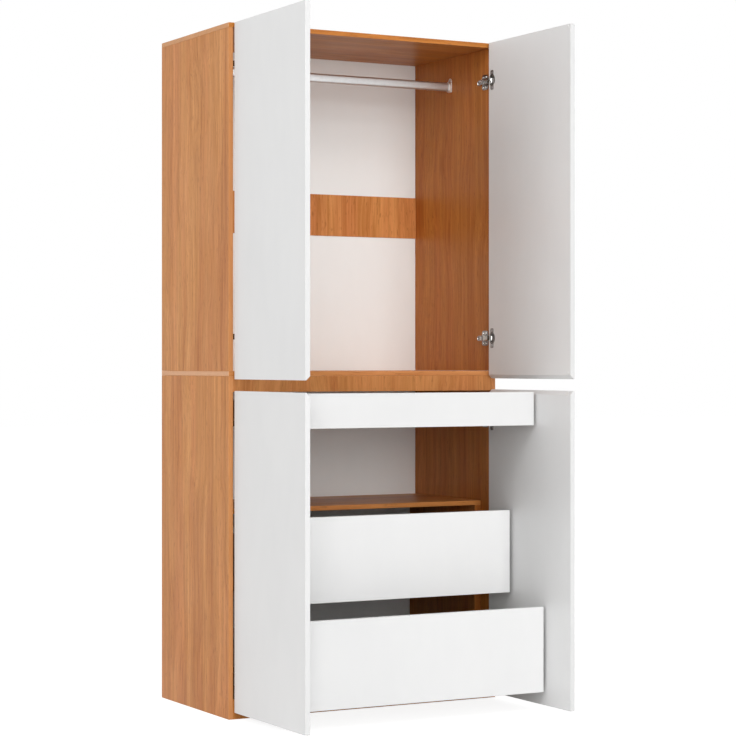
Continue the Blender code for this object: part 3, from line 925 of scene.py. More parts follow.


# The tints paint light and shade on the boards: those facing the lamps are painted paler and less saturated;
# the top panel, the right sides and the uprights darker.
CASE_BOARDS = {
    "top_panel": WoodFoil(Grain.ACROSS, 1.3, (0.93, 0.92, 0.80), tape_share=TAPE_SHARE),
    "middle_panel": WoodFoil(Grain.ACROSS, 2.1, (1.32, 1.53, 2.3), (0.68, 0.39, 0.23), tape_share=0.8),
    "bottom_panel": WoodFoil(Grain.ACROSS, 3.4),
    "unit_shelf": WoodFoil(Grain.ACROSS, 4.2, (1.28, 1.37, 1.68)),
    "base_strip": WoodFoil(Grain.UPRIGHT, 5.0, (1.1, 1.15, 1.2)),
    "front_rail": WoodFoil(Grain.UPRIGHT, 5.7, (1.07, 1.16, 1.62)),
    "back_rail": WoodFoil(Grain.UPRIGHT, 6.4, (1.29, 1.41, 1.98)),
    "left_upright": WoodFoil(Grain.UPRIGHT, 7.1, UPRIGHT_SHADE_TINT),
    "right_upright": WoodFoil(Grain.UPRIGHT, 7.8, UPRIGHT_SHADE_TINT),
    "left_batten": WoodFoil(Grain.DEEP, 9.0),
    "right_batten": WoodFoil(Grain.DEEP, 9.7),
    "lower_left_side": side_foil(Storey.LOWER, 11.0, (1.17, 1.3, 1.78)),
    "upper_left_side": side_foil(Storey.UPPER, 11.4, (1.2, 1.36, 1.96)),
    "lower_right_side": side_foil(Storey.LOWER, 12.3, INNER_SHADE_TINT),
    "upper_right_side": side_foil(Storey.UPPER, 12.7, INNER_SHADE_TINT),
    "lower_back_panel": BackBoard(2.0),
    "upper_back_panel": BackBoard(3.0),
}


@dataclass(frozen=True)
class Carcass:
    """The wooden case, its backs and its small fixings."""

    board: float = 0.015
    cap_radius: float = 0.006
    cap_height: float = 0.0006
    cap_shares: tuple[float, ...] = (0.09, 0.5, 0.91)
    clip_size: float = 0.022
    clip_wall: float = 0.0022
    clip_upright: float = 0.011
    clip_length: float = 0.016
    clip_rounding: float = 0.0006
    clips_per_side: int = 4
    clip_screw_share: float = 0.62
    clip_screw_radius: float = 0.0034
    clip_screw_height: float = 0.0012
    nail_radius: float = 0.0022
    nail_height: float = 0.0005
    nail_pitch: float = 0.11

    def add_top_caps(self) -> None:
        """The caps of the screws that hold the top panel on the sides."""
        low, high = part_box("top_panel")
        across = high.x - self.board / 2
        places = []
        for side in Side:
            for share in self.cap_shares:
                depth = low.y + share * (high.y - low.y)
                places.append((Vector((side.sign * across, depth, high.z)), UP))
        caps = screw_heads(places, self.cap_radius, self.cap_height)
        add_piece(caps, "top_panel_screws", ZINC_STEEL, "carcass")

    def add_back_clips(self, storey: Storey) -> None:
        """The plastic angles that hold a back panel against the case, with their screws.

        Args:
            storey: Which storey's back panel they hold.
        """
        name = f"{storey.value}_back"
        low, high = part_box(f"{name}_panel")
        depth = high.y + FIT
        side_face = abs(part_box(f"{storey.value}_right_side")[0].x) - FIT
        size, wall, upright = self.clip_size, self.clip_wall, self.clip_upright
        outline = ((0, 0), (size, 0), (size, wall), (wall, wall), (wall, upright), (0, upright))
        clips = []
        screws = []
        for side in Side:
            for number in range(self.clips_per_side):
                level = low.z + (number + 0.5) / self.clips_per_side * (high.z - low.z)
                clip = slab(outline, self.clip_length / 2, self.clip_rounding)
                move(clip, Matrix.Translation((-side_face, depth, level)))
                clips.append(mirrored(clip) if side is Side.RIGHT else clip)
                across = side.sign * (side_face - self.clip_screw_share * size)
                screws.append((Vector((across, depth + wall, level)), -INTO_ROOM))
        heads = screw_heads(screws, self.clip_screw_radius, self.clip_screw_height)
        add_piece(gather(clips), f"{name}_clips", WHITE_PLASTIC, "carcass")
        add_piece(heads, f"{name}_clip_screws", ZINC_STEEL, "carcass")

    def add_back_nails(self) -> None:
        """The nails that hold the backs to the back rail and to the shelf."""
        places = []
        panel_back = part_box("upper_back_panel")[1].y
        for node in ("back_rail", "unit_shelf"):
            low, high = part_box(node)
            count = int((high.x - low.x) / self.nail_pitch)
            for number in range(count):
                across = low.x + (number + 0.5) * (high.x - low.x) / count
                places.append((Vector((across, panel_back, centre(node, Z))), -INTO_ROOM))
        nails = screw_heads(places, self.nail_radius, self.nail_height)
        add_piece(nails, "back_panel_nails", ZINC_STEEL, "carcass")

    def build(self) -> None:
        """Dresses the case and adds its fixings."""
        for name, finish in CASE_BOARDS.items():
            dress_node(name, finish)
        self.add_top_caps()
        self.add_back_nails()
        for storey in Storey:
            self.add_back_clips(storey)


@dataclass(frozen=True)
class HangingRail:
    """The oval rail and the two sockets that hold its ends."""

    wall: float = 0.0012
    end_rounding: float = 0.0002
    plate: float = 0.0028
    top_steps: int = 14
    collar_wall: float = 0.0026
    rounding: float = 0.0006
    screw_radius: float = 0.0036
    screw_height: float = 0.0014
    screw_drop: float = 0.92

    def laid(self, way: int) -> Matrix:
        """The turn that lays a shape built along Z along X, with its Y upright."""
        turn = way * QUARTER_TURN
        return Matrix.Rotation(turn, 4, "Y") @ Matrix.Rotation(turn, 4, "Z")

    def add_tube(self) -> None:
        """The rail itself, a drawn aluminium tube."""
        low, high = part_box("hanging_rail")
        size = high - low
        tube = oval_rings(size.y, size.z, self.wall, size.x)
        bevel_edges(tube, sharp_edges(tube), self.end_rounding, 1)
        end = (low.x, centre("hanging_rail", Y), centre("hanging_rail", Z))
        move(tube, Matrix.Translation(end) @ self.laid(1))
        rail = add_piece(tube, "hanging_rail_tube", ALUMINIUM, "carcass")
        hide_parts("hanging_rail")

    def add_socket(self, side: Side) -> None:
        """A socket: a round-topped plate with a collar round the rail, and its screw.

        Args:
            side: Which end of the rail it holds.
        """
        node = f"{side.value}_rail_socket"
        low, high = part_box(node)
        rail_low, rail_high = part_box("hanging_rail")
        rail_level = centre("hanging_rail", Z)
        setback = centre(node, Y)
        radius = (high.y - low.y) / 2
        face = max(abs(low.x), abs(high.x))
        shoulder = high.z - radius - rail_level
        outline = [(-radius, low.z - rail_level, 0.0), (radius, low.z - rail_level, 0.0)]
        for step in range(self.top_steps + 1):
            turn = math.pi * step / self.top_steps
            outline.append((radius * math.cos(turn), shoulder + radius * math.sin(turn), 0.0))
        plate = prism(outline, self.plate * UP, self.rounding)
        around = 2 * (FIT + self.collar_wall)
        width = rail_high.y - rail_low.y + around
        height = rail_high.z - rail_low.z + around
        collar = oval_rings(width, height, self.collar_wall, high.x - low.x)
        bevel_edges(collar, sharp_edges(collar), self.rounding, 2)
        whole = move(gather([plate, collar]), self.laid(-side.sign))
        move(whole, Matrix.Translation((side.sign * face, setback, rail_level)))
        socket = add_piece(whole, f"{node}_casting", CAST_ZINC, "carcass")
        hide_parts(node)
        spot = Vector((side.sign * (face - self.plate), setback, high.z - self.screw_drop * radius))
        screw = screw_heads([(spot, -side.sign * ACROSS)], self.screw_radius, self.screw_height)
        add_piece(screw, f"{node}_screw", ZINC_STEEL, "carcass")

    def build(self) -> None:
        """Builds the rail and its sockets."""
        self.add_tube()
        for side in Side:
            self.add_socket(side)


@dataclass(frozen=True)
class Bar:
    """A link of a hinge, as an outline of distances into the case and setbacks, from a point of the hinge."""

    outline: tuple[Point, ...]
    half_width: float
    rounding: float
    segments: int = 2

    def build(self, across: float, setback: float) -> Shape:
        """Builds the bar from its point of the hinge."""
        outline = [(across + out, setback + back) for out, back in self.outline]
        return slab(outline, self.half_width, self.rounding, self.segments)


@dataclass(frozen=True)
class Pin:
    """A pin of a hinge, as a profile of radius and height, and its place from a point of the hinge."""

    profile: tuple[Point, ...]
    place: Point
    steps: int

    def build(self, across: float, setback: float) -> Shape:
        """Builds the pin from its point of the hinge."""
        place = (across + self.place[0], setback + self.place[1], 0.0)
        return move(turned(self.profile, self.steps), Matrix.Translation(place))


OUTER_LINK = Bar(
    (
        (-0.0032, -0.0088),
        (-0.0004, -0.0088),
        (-0.0002, -0.0115),
        (-0.0020, -0.0130),
        (-0.0046, -0.0134),
        (-0.0060, -0.0129),
        (-0.0042, -0.0118),
    ),
    half_width=0.0072,
    rounding=0.0004,
)
SADDLE = Bar(((0.0001, -0.0078), (0.0001, -0.0112), (0.0008, -0.0112), (0.0008, -0.0078)), 0.0072, 0.0002, 1)
INNER_LINK = Bar(((-0.0020, 0.0131), (-0.0056, 0.0096), (-0.0066, 0.0107), (-0.0030, 0.0139)), 0.0080, 0.0003)
# Painted shade: the deep half of the inner link is a separate piece, finished dark because it lies in shade
# inside the cup.
SHADED_LINK_ROOT = Bar(((-0.0058, 0.0094), (-0.0082, 0.0050), (-0.0096, 0.0056), (-0.0068, 0.0105)), 0.0080, 0.0003)
OUTER_PIN = Pin(
    ((0.0, -0.0102), (0.0011, -0.0102), (0.0016, -0.0097), (0.0016, 0.0097), (0.0011, 0.0102), (0.0, 0.0102)),
    place=(-0.0021, -0.0112),
    steps=14,
)
CUP_PIN = Pin(((0.0, -0.0102), (0.0014, -0.0102), (0.0014, 0.0102), (0.0, 0.0102)), (-0.0092, 0.0042), 12)


# A face of the arm whose normal's X is over this looks into the case.
ROOMWARD = 0.8


@dataclass(frozen=True)
class CupHinge:
    """One cup hinge of an open door: arm and plate on the side, cup on the door.

    Its shapes are built for the left side in the hinge's own space: X is the distance from the side's inner
    face into the case, Y the setback from the case's front, and Z the height over the hinge's level.
    """

    storey: Storey
    side: Side
    place: str
    arm_width: float = 0.017
    arm_tail_width: float = 0.0145
    arm_rounding: float = 0.0005
    tongue_low: float = 0.0176
    tongue_high: float = 0.0212
    tongue_tip: float = -0.0107
    neck: float = 0.020
    body: float = 0.0123
    body_setback: float = 0.056
    tail_height: float = 0.0063
    tail_rounding: float = 0.0056
    tail_segments: int = 5
    foot_setback: float = 0.018
    rim: float = 0.0017
    rim_slope: float = 0.0005
    recess: float = 0.0028
    hook_front: float = 0.0014
    hook_back: float = 0.0004
    hook_rounding: float = 0.0003
    plate_thickness: float = 0.0025
    plate_setback: float = 0.037
    plate_half_width: float = 0.0187
    plate_corner: float = 0.009
    plate_reach: float = 0.0253
    plate_rounding: float = 0.0006
    peg_spread: float = 0.0093
    peg_level: float = 0.0165
    peg_radius: float = 0.0036
    peg_height: float = 0.0030
    lock_screw_setback: float = 0.034
    lock_screw_radius: float = 0.0056
    lock_screw_sunk: float = 0.00168
    lock_screw_height: float = 0.00224
    tail_screw_inset: float = 0.0105
    tail_screw_radius: float = 0.0042
    tail_screw_height: float = 0.00112
    cup_setback: float = -0.0305
    cup_radius: float = 0.0171
    cup_wall: float = 0.0013
    cup_chamfer: float = 0.0015
    cup_depth: float = 0.0118
    cup_floor: float = 0.0008
    cup_rim_drop: float = 0.0023
    cup_hollow: tuple[Point, ...] = ((0.0, 0.0032), (0.0006, 0.0018), (0.0022, 0.0010))
    cup_steps: int = 40
    flange: float = 0.001
    flange_radius: float = 0.0186
    flange_lift: float = 0.00005
    mouth_opening: float = math.radians(74)
    mouth_steps: int = 34
    wing_half_width: float = 0.0095
    wing_corner: float = 0.0042
    wing_reach: float = 0.0325
    wing_rounding: float = 0.0003
    wing_screw: float = 0.0245
    wing_screw_forward: float = 0.001
    wing_screw_radius: float = 0.0036
    wing_screw_height: float = 0.0011

    @property
    def node(self) -> str:
        """The CAD node of this hinge."""
        return f"{self.storey.value}_{self.side.value}_hinge_{self.place}"

    @property
    def door(self) -> str:
        """The body of the door that it carries."""
        return f"{self.storey.value}_{self.side.value}_door"

    @property
    def origin(self) -> Vector:
        """Where the hinge's own space starts, for a hinge on the left side."""
        side_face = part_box("lower_right_side")[0].x
        return Vector((-side_face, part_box("front_rail")[0].y, centre(self.node, Z)))

    @property
    def tail(self) -> float:
        """How far back its arm reaches."""
        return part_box(self.node)[1].y - self.origin.y

    @property
    def door_face(self) -> float:
        """How far the open door's inner face lies from the side's inner face."""
        return -self.origin.x - abs(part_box(f"{self.storey.value}_right_door")[0].x)

    @property
    def slope(self) -> float:
        """How steeply the top of the arm falls towards its tail."""
        return (self.body - self.tongue_high) / (self.body_setback - self.neck)

    def put(self, shape: Shape, part: str, finish: Metal, body: str = "carcass") -> Item:
        """Turns a shape in the hinge's own space into one of its pieces.

        Args:
            shape: The shape.
            part: What the piece is called.
            finish: What it is finished in.
            body: The CAD body that it rides on.

        Returns:
            The new object.
        """
        move(shape, Matrix.Translation(self.origin))
        if self.side is Side.RIGHT:
            mirrored(shape)
        return add_piece(shape, f"{self.node}_{part}", finish, body)

    def add_arm(self) -> None:
        """The pressed arm, with flanges along its top round a sunk channel."""
        outline = (
            (FIT, self.tail),
            (FIT, self.foot_setback),
            (self.tongue_low, self.neck / 2),
            (self.tongue_low, self.tongue_tip),
            (self.tongue_high, self.tongue_tip),
            (self.tongue_high, self.neck),
            (self.body, self.body_setback),
            (self.tail_height, self.tail),
        )
        arm = slab(outline, self.arm_width / 2)
        ends = [vert for vert in arm.verts if math.isclose(vert.co.y, self.tail, abs_tol=NEAR)]
        for vert in ends:
            vert.co.z *= self.arm_tail_width / self.arm_width
        corners = [
            edge
            for edge in arm.edges
            if all(vert in ends for vert in edge.verts)
            and math.isclose(edge.verts[0].co.z, edge.verts[1].co.z, abs_tol=NEAR)
        ]
        bevel_edges(arm, corners, self.tail_rounding, self.tail_segments)
        roomward = [face for face in arm.faces if face.normal.x > ROOMWARD]
        tops = [face for face in roomward if face.calc_center_median().y > self.neck]
        bmesh.ops.inset_region(arm, faces=tops, thickness=self.rim, depth=0.0)
        bmesh.ops.inset_region(arm, faces=tops, thickness=self.rim_slope, depth=-self.recess)
        bevel_edges(arm, sharp_edges(arm), self.arm_rounding, 2)
        item = self.put(arm, "arm", NICKEL)
        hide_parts(self.node)

    def add_plate(self) -> None:
        """The mounting plate's two rounded wings, and the hook before the foot of the arm, painted near-black
        for the shade there.
        """
        outline = (
            (FIT, self.foot_setback - self.hook_front),
            (FIT, self.foot_setback + self.hook_back),
            (self.tongue_low, self.neck / 2 + self.hook_back),
            (self.tongue_low, self.neck / 2 - self.hook_front),
        )
        # Painted shade: a thin near-black hook lies over the front face of the arm's foot, where the arm is in
        # shade.
        self.put(slab(outline, self.arm_width / 2 + FIT, self.hook_rounding, 1), "shaded_hook", SHADE_BLACK_STEEL)
        self.put(gather(self.wing(end) for end in BOTH_ENDS), "plate", DARK_NICKEL)

    def wing(self, end: int) -> Shape:
        """One wing of the mounting plate.

        Args:
            end: 1 for the upper wing and -1 for the lower.

        Returns:
            The shape.
        """
        low = (self.plate_setback - self.plate_half_width, 0.0)
        high = (self.plate_setback + self.plate_half_width, self.plate_reach)
        points = rounded_end(low, high, self.plate_corner)
        outline = [(FIT, setback, end * up) for setback, up in points]
        return prism(outline, (self.plate_thickness - FIT) * ACROSS, self.plate_rounding)

    def arm_screw(self, setback: float, sunk: float, radius: float, height: float) -> Shape:
        """A screw head in the sloping top of the arm.

        Args:
            setback: Where it stands.
            sunk: How far its foot lies under the top.
            radius: Its radius.
            height: Its height over its foot.

        Returns:
            The shape.
        """
        top = self.tongue_high + self.slope * (setback - self.neck)
        place = Vector((top - sunk, setback, 0.0))
        return screw_heads([(place, Vector((1.0, -self.slope, 0.0)).normalized())], radius, height)

    def add_screws(self) -> None:
        """The screws of the arm and the pegs of the plate."""
        lock = self.arm_screw(
            self.lock_screw_setback, self.lock_screw_sunk, self.lock_screw_radius, self.lock_screw_height
        )
        self.put(lock, "lock_screw", ZINC_STEEL)
        # Painted shade: the tail screw sits in the arm's recess and is dark steel to stand for the shade
        # there.
        setback = self.tail - self.tail_screw_inset
        tail = self.arm_screw(setback, self.recess, self.tail_screw_radius, self.tail_screw_height)
        self.put(tail, "tail_screw", DARK_STEEL)
        pegs = []
        for end in BOTH_ENDS:
            for spread in (-self.peg_spread, self.peg_spread):
                spot = Vector((self.plate_thickness, self.plate_setback + spread, end * self.peg_level))
                pegs.append((spot, ACROSS))
        self.put(screw_heads(pegs, self.peg_radius, self.peg_height), "plate_pegs", BRIGHT_ZINC)

    def add_outer_link(self) -> None:
        """The outer link from the arm's tongue to the mouth of the cup, with its pin and its saddle."""
        tongue = (self.tongue_high, 0.0)
        # Painted shade: the link and its saddle are near-black to stand for the shade round the arm's tongue.
        self.put(gather([OUTER_LINK.build(*tongue), OUTER_PIN.build(*tongue)]), "link", SHADE_BLACK_STEEL)
        self.put(SADDLE.build(*tongue), "saddle", SHADE_BLACK_STEEL)

    def add_cup(self) -> None:
        """The cup pressed into the door, and its flange with two wings."""
        inner = self.cup_radius - self.cup_wall
        floor = -self.cup_depth
        profile = [
            (0.0, floor),
            (self.cup_radius - self.cup_chamfer, floor),
            (self.cup_radius, floor + self.cup_chamfer),
            (self.cup_radius, -self.cup_rim_drop),
            (inner, -self.cup_rim_drop),
        ]
        profile += [(inner - inward, floor + up) for inward, up in self.cup_hollow]
        profile.append((0.0, floor + self.cup_floor))
        cup = gather([turned(profile, self.cup_steps), self.mouth(), *map(self.cup_wing, BOTH_ENDS)])
        place = Matrix.Translation((self.door_face, self.cup_setback, 0.0))
        move(cup, place @ Matrix.Rotation(QUARTER_TURN, 4, "Y"))
        self.put(cup, "cup", DARK_NICKEL, self.door)

    def mouth(self) -> Shape:
        """The flange round the cup's mouth, open on the side where the links come in."""
        inner = self.cup_radius - self.cup_wall
        corners = (
            (inner, -self.cup_rim_drop),
            (inner, self.flange),
            (self.flange_radius, self.flange),
            (self.flange_radius, self.flange_lift),
            (self.cup_radius, self.flange_lift),
            (self.cup_radius, -self.cup_rim_drop),
        )
        shape = bmesh.new()
        verts = [shape.verts.new((radius, 0.0, height)) for radius, height in corners]
        section = shape.faces.new(verts)
        start = Matrix.Rotation(QUARTER_TURN + self.mouth_opening / 2, 3, "Z")
        sweep = FULL_TURN - self.mouth_opening
        bmesh.ops.rotate(shape, verts=verts, cent=(0, 0, 0), matrix=start)
        bmesh.ops.spin(shape, geom=[section], cent=(0, 0, 0), axis=UP, angle=sweep, steps=self.mouth_steps)
        return shape

    def cup_wing(self, end: int) -> Shape:
        """One wing of the cup's flange, a plate with round corners.

        Args:
            end: 1 for the upper wing and -1 for the lower.

        Returns:
            The shape, in the cup's own space, where -X is up.
        """
        low = (-self.wing_half_width, self.cup_radius - self.wing_corner)
        high = (self.wing_half_width, self.wing_reach)
        points = rounded_end(low, high, self.wing_corner)
        outline = [(-end * reach, across, 0.0) for across, reach in points]
        return prism(outline, self.flange * UP, self.wing_rounding, 1)

    def add_inner_link(self) -> None:
        """The inner link, which leans across the cup towards the arm, with its root painted dark for the shade
        deep in the cup, and its cross pin.
        """
        cup = (self.door_face, self.cup_setback)
        self.put(INNER_LINK.build(*cup), "inner_link", BRIGHT_ZINC, self.door)
        self.put(SHADED_LINK_ROOT.build(*cup), "shaded_link_root", DARK_STEEL, self.door)
        self.put(CUP_PIN.build(*cup), "cup_pin", DARK_STEEL, self.door)

    def add_cup_screws(self) -> None:
        """The screws that hold the cup's wings on the door."""
        across = self.door_face + self.flange
        setback = self.cup_setback - self.wing_screw_forward
        spots = [(Vector((across, setback, end * self.wing_screw)), ACROSS) for end in BOTH_ENDS]
        heads = screw_heads(spots, self.wing_screw_radius, self.wing_screw_height)
        self.put(heads, "cup_screws", ZINC_STEEL, self.door)

    def build(self) -> None:
        """Builds every piece of the hinge."""
        self.add_arm()
        self.add_plate()
        self.add_screws()
        self.add_outer_link()
        self.add_cup()
        self.add_inner_link()
        self.add_cup_screws()


@dataclass(frozen=True)
class Door:
    """One door, with the soft pads that quieten it."""

    storey: Storey
    side: Side
    seed: float
    pad_radius: float = 0.0042
    pad_height: float = 0.0015
    pad_inset: float = 0.013
    pad_profile: tuple[Point, ...] = ((0.0, 0.0), (1.0, 0.0), (1.0, 0.5), (0.8, 0.9), (0.4, 1.0), (0.0, 1.0))
    pad_steps: int = 20
    low_pad_share: float = 0.35
    lower_pad_drop: float = 0.006
    # Painted shade: the right doors' faces are painted slightly darker, and the doors' edge bands darker, the
    # upper ones most, to tone down the light that falls full on them.
    painted_light_lifts: ClassVar[dict[tuple[Storey, Side], float]] = {
        (Storey.UPPER, Side.RIGHT): 0.985,
        (Storey.LOWER, Side.RIGHT): 0.95,
    }
    tape_painted_light_lifts: ClassVar[dict[Storey, float]] = {Storey.UPPER: 0.9, Storey.LOWER: 0.94}
    meets: ClassVar[dict[Storey, tuple[str, str]]] = {
        Storey.UPPER: ("middle_panel", "top_panel"),
        Storey.LOWER: ("base_strip", "front_rail"),
    }

    @property
    def name(self) -> str:
        """The door's node and body."""
        return f"{self.storey.value}_{self.side.value}_door"

    def pad_levels(self) -> Point:
        """The heights of the pads, where the closed door meets the case."""
        lower, upper = (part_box(node) for node in self.meets[self.storey])
        low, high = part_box(self.name)
        low_level = lower[1].z - (lower[1].z - max(lower[0].z, low.z)) * self.low_pad_share
        high_level = (upper[0].z + min(upper[1].z, high.z)) / 2
        return low_level, high_level - (self.lower_pad_drop if self.storey is Storey.LOWER else 0.0)

    def build(self) -> None:
        """Dresses the door and adds its pads."""
        lift = self.painted_light_lifts.get((self.storey, self.side), 1.0)
        dress_node(self.name, WhiteLaminate(self.seed, lift=lift, tape_painted_light_lift=self.tape_painted_light_lifts[self.storey]))
        low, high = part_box(self.name)
        inner_face = low.x if self.side is Side.RIGHT else high.x
        profile = [(self.pad_radius * out, self.pad_height * up) for out, up in self.pad_profile]
        pads = []
        for level in self.pad_levels():
            spot = Vector((inner_face, low.y + self.pad_inset, level))
            pads.append(move(turned(profile, self.pad_steps), facing(spot, -self.side.sign * ACROSS)))
        add_piece(gather(pads), f"{self.name}_pads", PAD_PLASTIC, self.name)


@dataclass(frozen=True)
class Slide:
    """One telescopic slide: the CAD track and runner, with the drawer member, ball cages and screws.

    Its shapes are built for the right side.
    """

    level: Level
    side: Side
    wall: float = 0.0012
    member_half_height: float = 0.0138
    member_reach: float = 0.0056
    member_rounding: float = 0.0003
    screw_shares: tuple[float, ...] = (0.09, 0.45, 0.88)
    screw_radius: float = 0.0034
    screw_height: float = 0.0013
    ball_radius: float = 0.0019
    ball_share: float = 0.62
    balls_per_cage: int = 7
    cage_pitch: float = 0.012
    cage_half_width: float = 0.0018
    cage_half_height: float = 0.0005
    cage_rounding: float = 0.0002
    cage_front: float = 0.02
    cage_back: float = 0.03

    @property
    def name(self) -> str:
        """What the names of the slide's pieces start with."""
        return f"{self.level.value}_{self.side.value}"

    @property
    def middle(self) -> float:
        """The height of the slide's middle."""
        return centre(f"{self.name}_track", Z)

    @property
    def cage_length(self) -> float:
        """The length of one ball cage."""
        return self.balls_per_cage * self.cage_pitch

    def put(self, shape: Shape, part: str, finish: Metal, body: str) -> None:
        """Turns a shape built for the right side into one of the slide's pieces.

        Args:
            shape: The shape.
            part: What the piece is called.
            finish: What it is finished in.
            body: The CAD body that it rides on.
        """
        if self.side is Side.LEFT:
            mirrored(shape)
        add_piece(shape, f"{self.name}_{part}", finish, body)

    def add_member(self) -> None:
        """The inner member, a channel that is screwed to the drawer's side and open towards the cabinet's."""
        low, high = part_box(f"{self.level.value}_drawer_right_side")
        web = high.x + FIT
        inner = web + self.wall
        reach = web + self.member_reach
        length = high.y - low.y
        bottom, top = self.middle - self.member_half_height, self.middle + self.member_half_height
        outline = [
            (web, low.y, bottom),
            (reach, low.y, bottom),
            (reach, low.y, bottom + self.wall),
            (inner, low.y, bottom + self.wall),
            (inner, low.y, top - self.wall),
            (reach, low.y, top - self.wall),
            (reach, low.y, top),
            (web, low.y, top),
        ]
        body = f"{self.level.value}_drawer"
        member = prism(outline, -length * INTO_ROOM, self.member_rounding, 1)
        self.put(member, "drawer_member", ZINC_STEEL, body)
        places = [
            (Vector((inner, low.y + share * length, self.middle)), ACROSS) for share in self.screw_shares
        ]
        screws = screw_heads(places, self.screw_radius, self.screw_height)
        self.put(screws, "member_screws", ZINC_STEEL, body)

    def cage(self, across: float, start: float, level: float) -> Shape:
        """The strip of one ball cage.

        Args:
            across: Where its middle lies along X.
            start: Where its front end lies along Y.
            level: Its height.

        Returns:
            The shape.
        """
        wide, high = self.cage_half_width, self.cage_half_height
        corners = ((-wide, -high), (wide, -high), (wide, high), (-wide, high))
        outline = [(across + out, start, level + up) for out, up in corners]
        return prism(outline, -self.cage_length * INTO_ROOM, self.cage_rounding, 1)

    def add_cages(self) -> None:
        """The ball cages over and under the runner, between it and the drawer member."""
        low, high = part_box(f"{self.level.value}_right_runner")
        groove = (self.member_half_height + high.z - self.middle - self.wall) / 2
        across = high.x - (high.x - low.x) * self.ball_share
        strips = []
        balls = []
        for end in BOTH_ENDS:
            level = self.middle + end * groove
            for start in (low.y + self.cage_front, high.y - self.cage_back - self.cage_length):
                strips.append(self.cage(across, start, level))
                for number in range(self.balls_per_cage):
                    ball = bmesh.new()
                    bmesh.ops.create_icosphere(ball, subdivisions=2, radius=self.ball_radius)
                    spot = (across, start + (number + 0.5) * self.cage_pitch, level)
                    balls.append(move(ball, Matrix.Translation(spot)))
        body = f"{self.level.value}_runners"
        self.put(gather(strips), "ball_cages", DARK_STEEL, body)
        self.put(gather(balls), "balls", NICKEL, body)

    def build(self) -> None:
        """Dresses the slide's nodes and adds what they leave out."""
        for part in ("track", "runner"):
            dress_node(f"{self.name}_{part}", ZINC_STEEL)
        self.add_member()
        self.add_cages()


@dataclass(frozen=True)
class Drawer:
    """One drawer, with its connecting fittings."""

    level: Level
    seed: float
    cam_radius: float = 0.0075
    cam_height: float = 0.0005
    cam_setback: float = 0.024
    screw_radius: float = 0.0035
    screw_height: float = 0.0005
    screw_inset: float = 0.012
    deep_cam_shares: tuple[float, ...] = (0.25, 0.75)
    # Painted light: the middle drawer's front is painted lighter and the top one's darker, to make up for the
    # shade that the top drawer casts on the middle one.
    painted_light_lifts: ClassVar[dict[Level, float]] = {Level.TOP: 0.97, Level.MIDDLE: 1.07, Level.BOTTOM: 1.0}

    @property
    def name(self) -> str:
        """The drawer's body, which the names of its nodes start with."""
        return f"{self.level.value}_drawer"

    def dress(self) -> None:
        """Finishes the drawer's boards."""
        lift = self.painted_light_lifts[self.level]
        dress_node(f"{self.name}_front", WhiteLaminate(self.seed, lift=lift, tape_painted_light_lift=lift))
        for number, part in enumerate(("left_side", "right_side", "back", "bottom")):
            grain = Grain.DEEP if part.endswith("side") else Grain.ACROSS
            dress_node(f"{self.name}_{part}", DrawerBoard(grain, self.seed + number))

    def add_fittings(self) -> None:
        """The cams that pull the front onto the sides, and the screws through the sides into the back."""
        shares = (0.5,) if self.level is Level.TOP else self.deep_cam_shares
        depth = centre(f"{self.name}_back", Y)
        cams = []
        screws = []
        for side in Side:
            low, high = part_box(f"{self.name}_{side.value}_side")
            inner, outer = (high.x, low.x) if side is Side.LEFT else (low.x, high.x)
            for share in shares:
                spot = Vector((inner, low.y + self.cam_setback, low.z + share * (high.z - low.z)))
                cams.append((spot, -side.sign * ACROSS))
            for level in (low.z + self.screw_inset, high.z - self.screw_inset):
                screws.append((Vector((outer, depth, level)), side.sign * ACROSS))
        heads = screw_heads(cams, self.cam_radius, self.cam_height)
        add_piece(heads, f"{self.name}_cams", CAST_ZINC, self.name)
        heads = screw_heads(screws, self.screw_radius, self.screw_height)
        add_piece(heads, f"{self.name}_back_screws", ZINC_STEEL, self.name)

    def build(self) -> None:
        """Dresses the drawer and adds its fittings."""
        self.dress()
        self.add_fittings()


@dataclass(frozen=True)
class Lamp:
    """Where a lamp stands, as a turn to the left of the front and a rise, and its power in watts."""

    name: str
    turn: float
    rise: float
    power: float


def seen_plainly(graph: Graph) -> Socket:
    """1 for the rays of the camera, of mirrors and of glass, and 0 for those that only carry light."""
    rays = graph.add("ShaderNodeLightPath").outputs
    seen = graph.math("MAXIMUM", rays["Is Camera Ray"], rays["Is Glossy Ray"])
    return graph.math("MAXIMUM", seen, rays["Is Transmission Ray"])


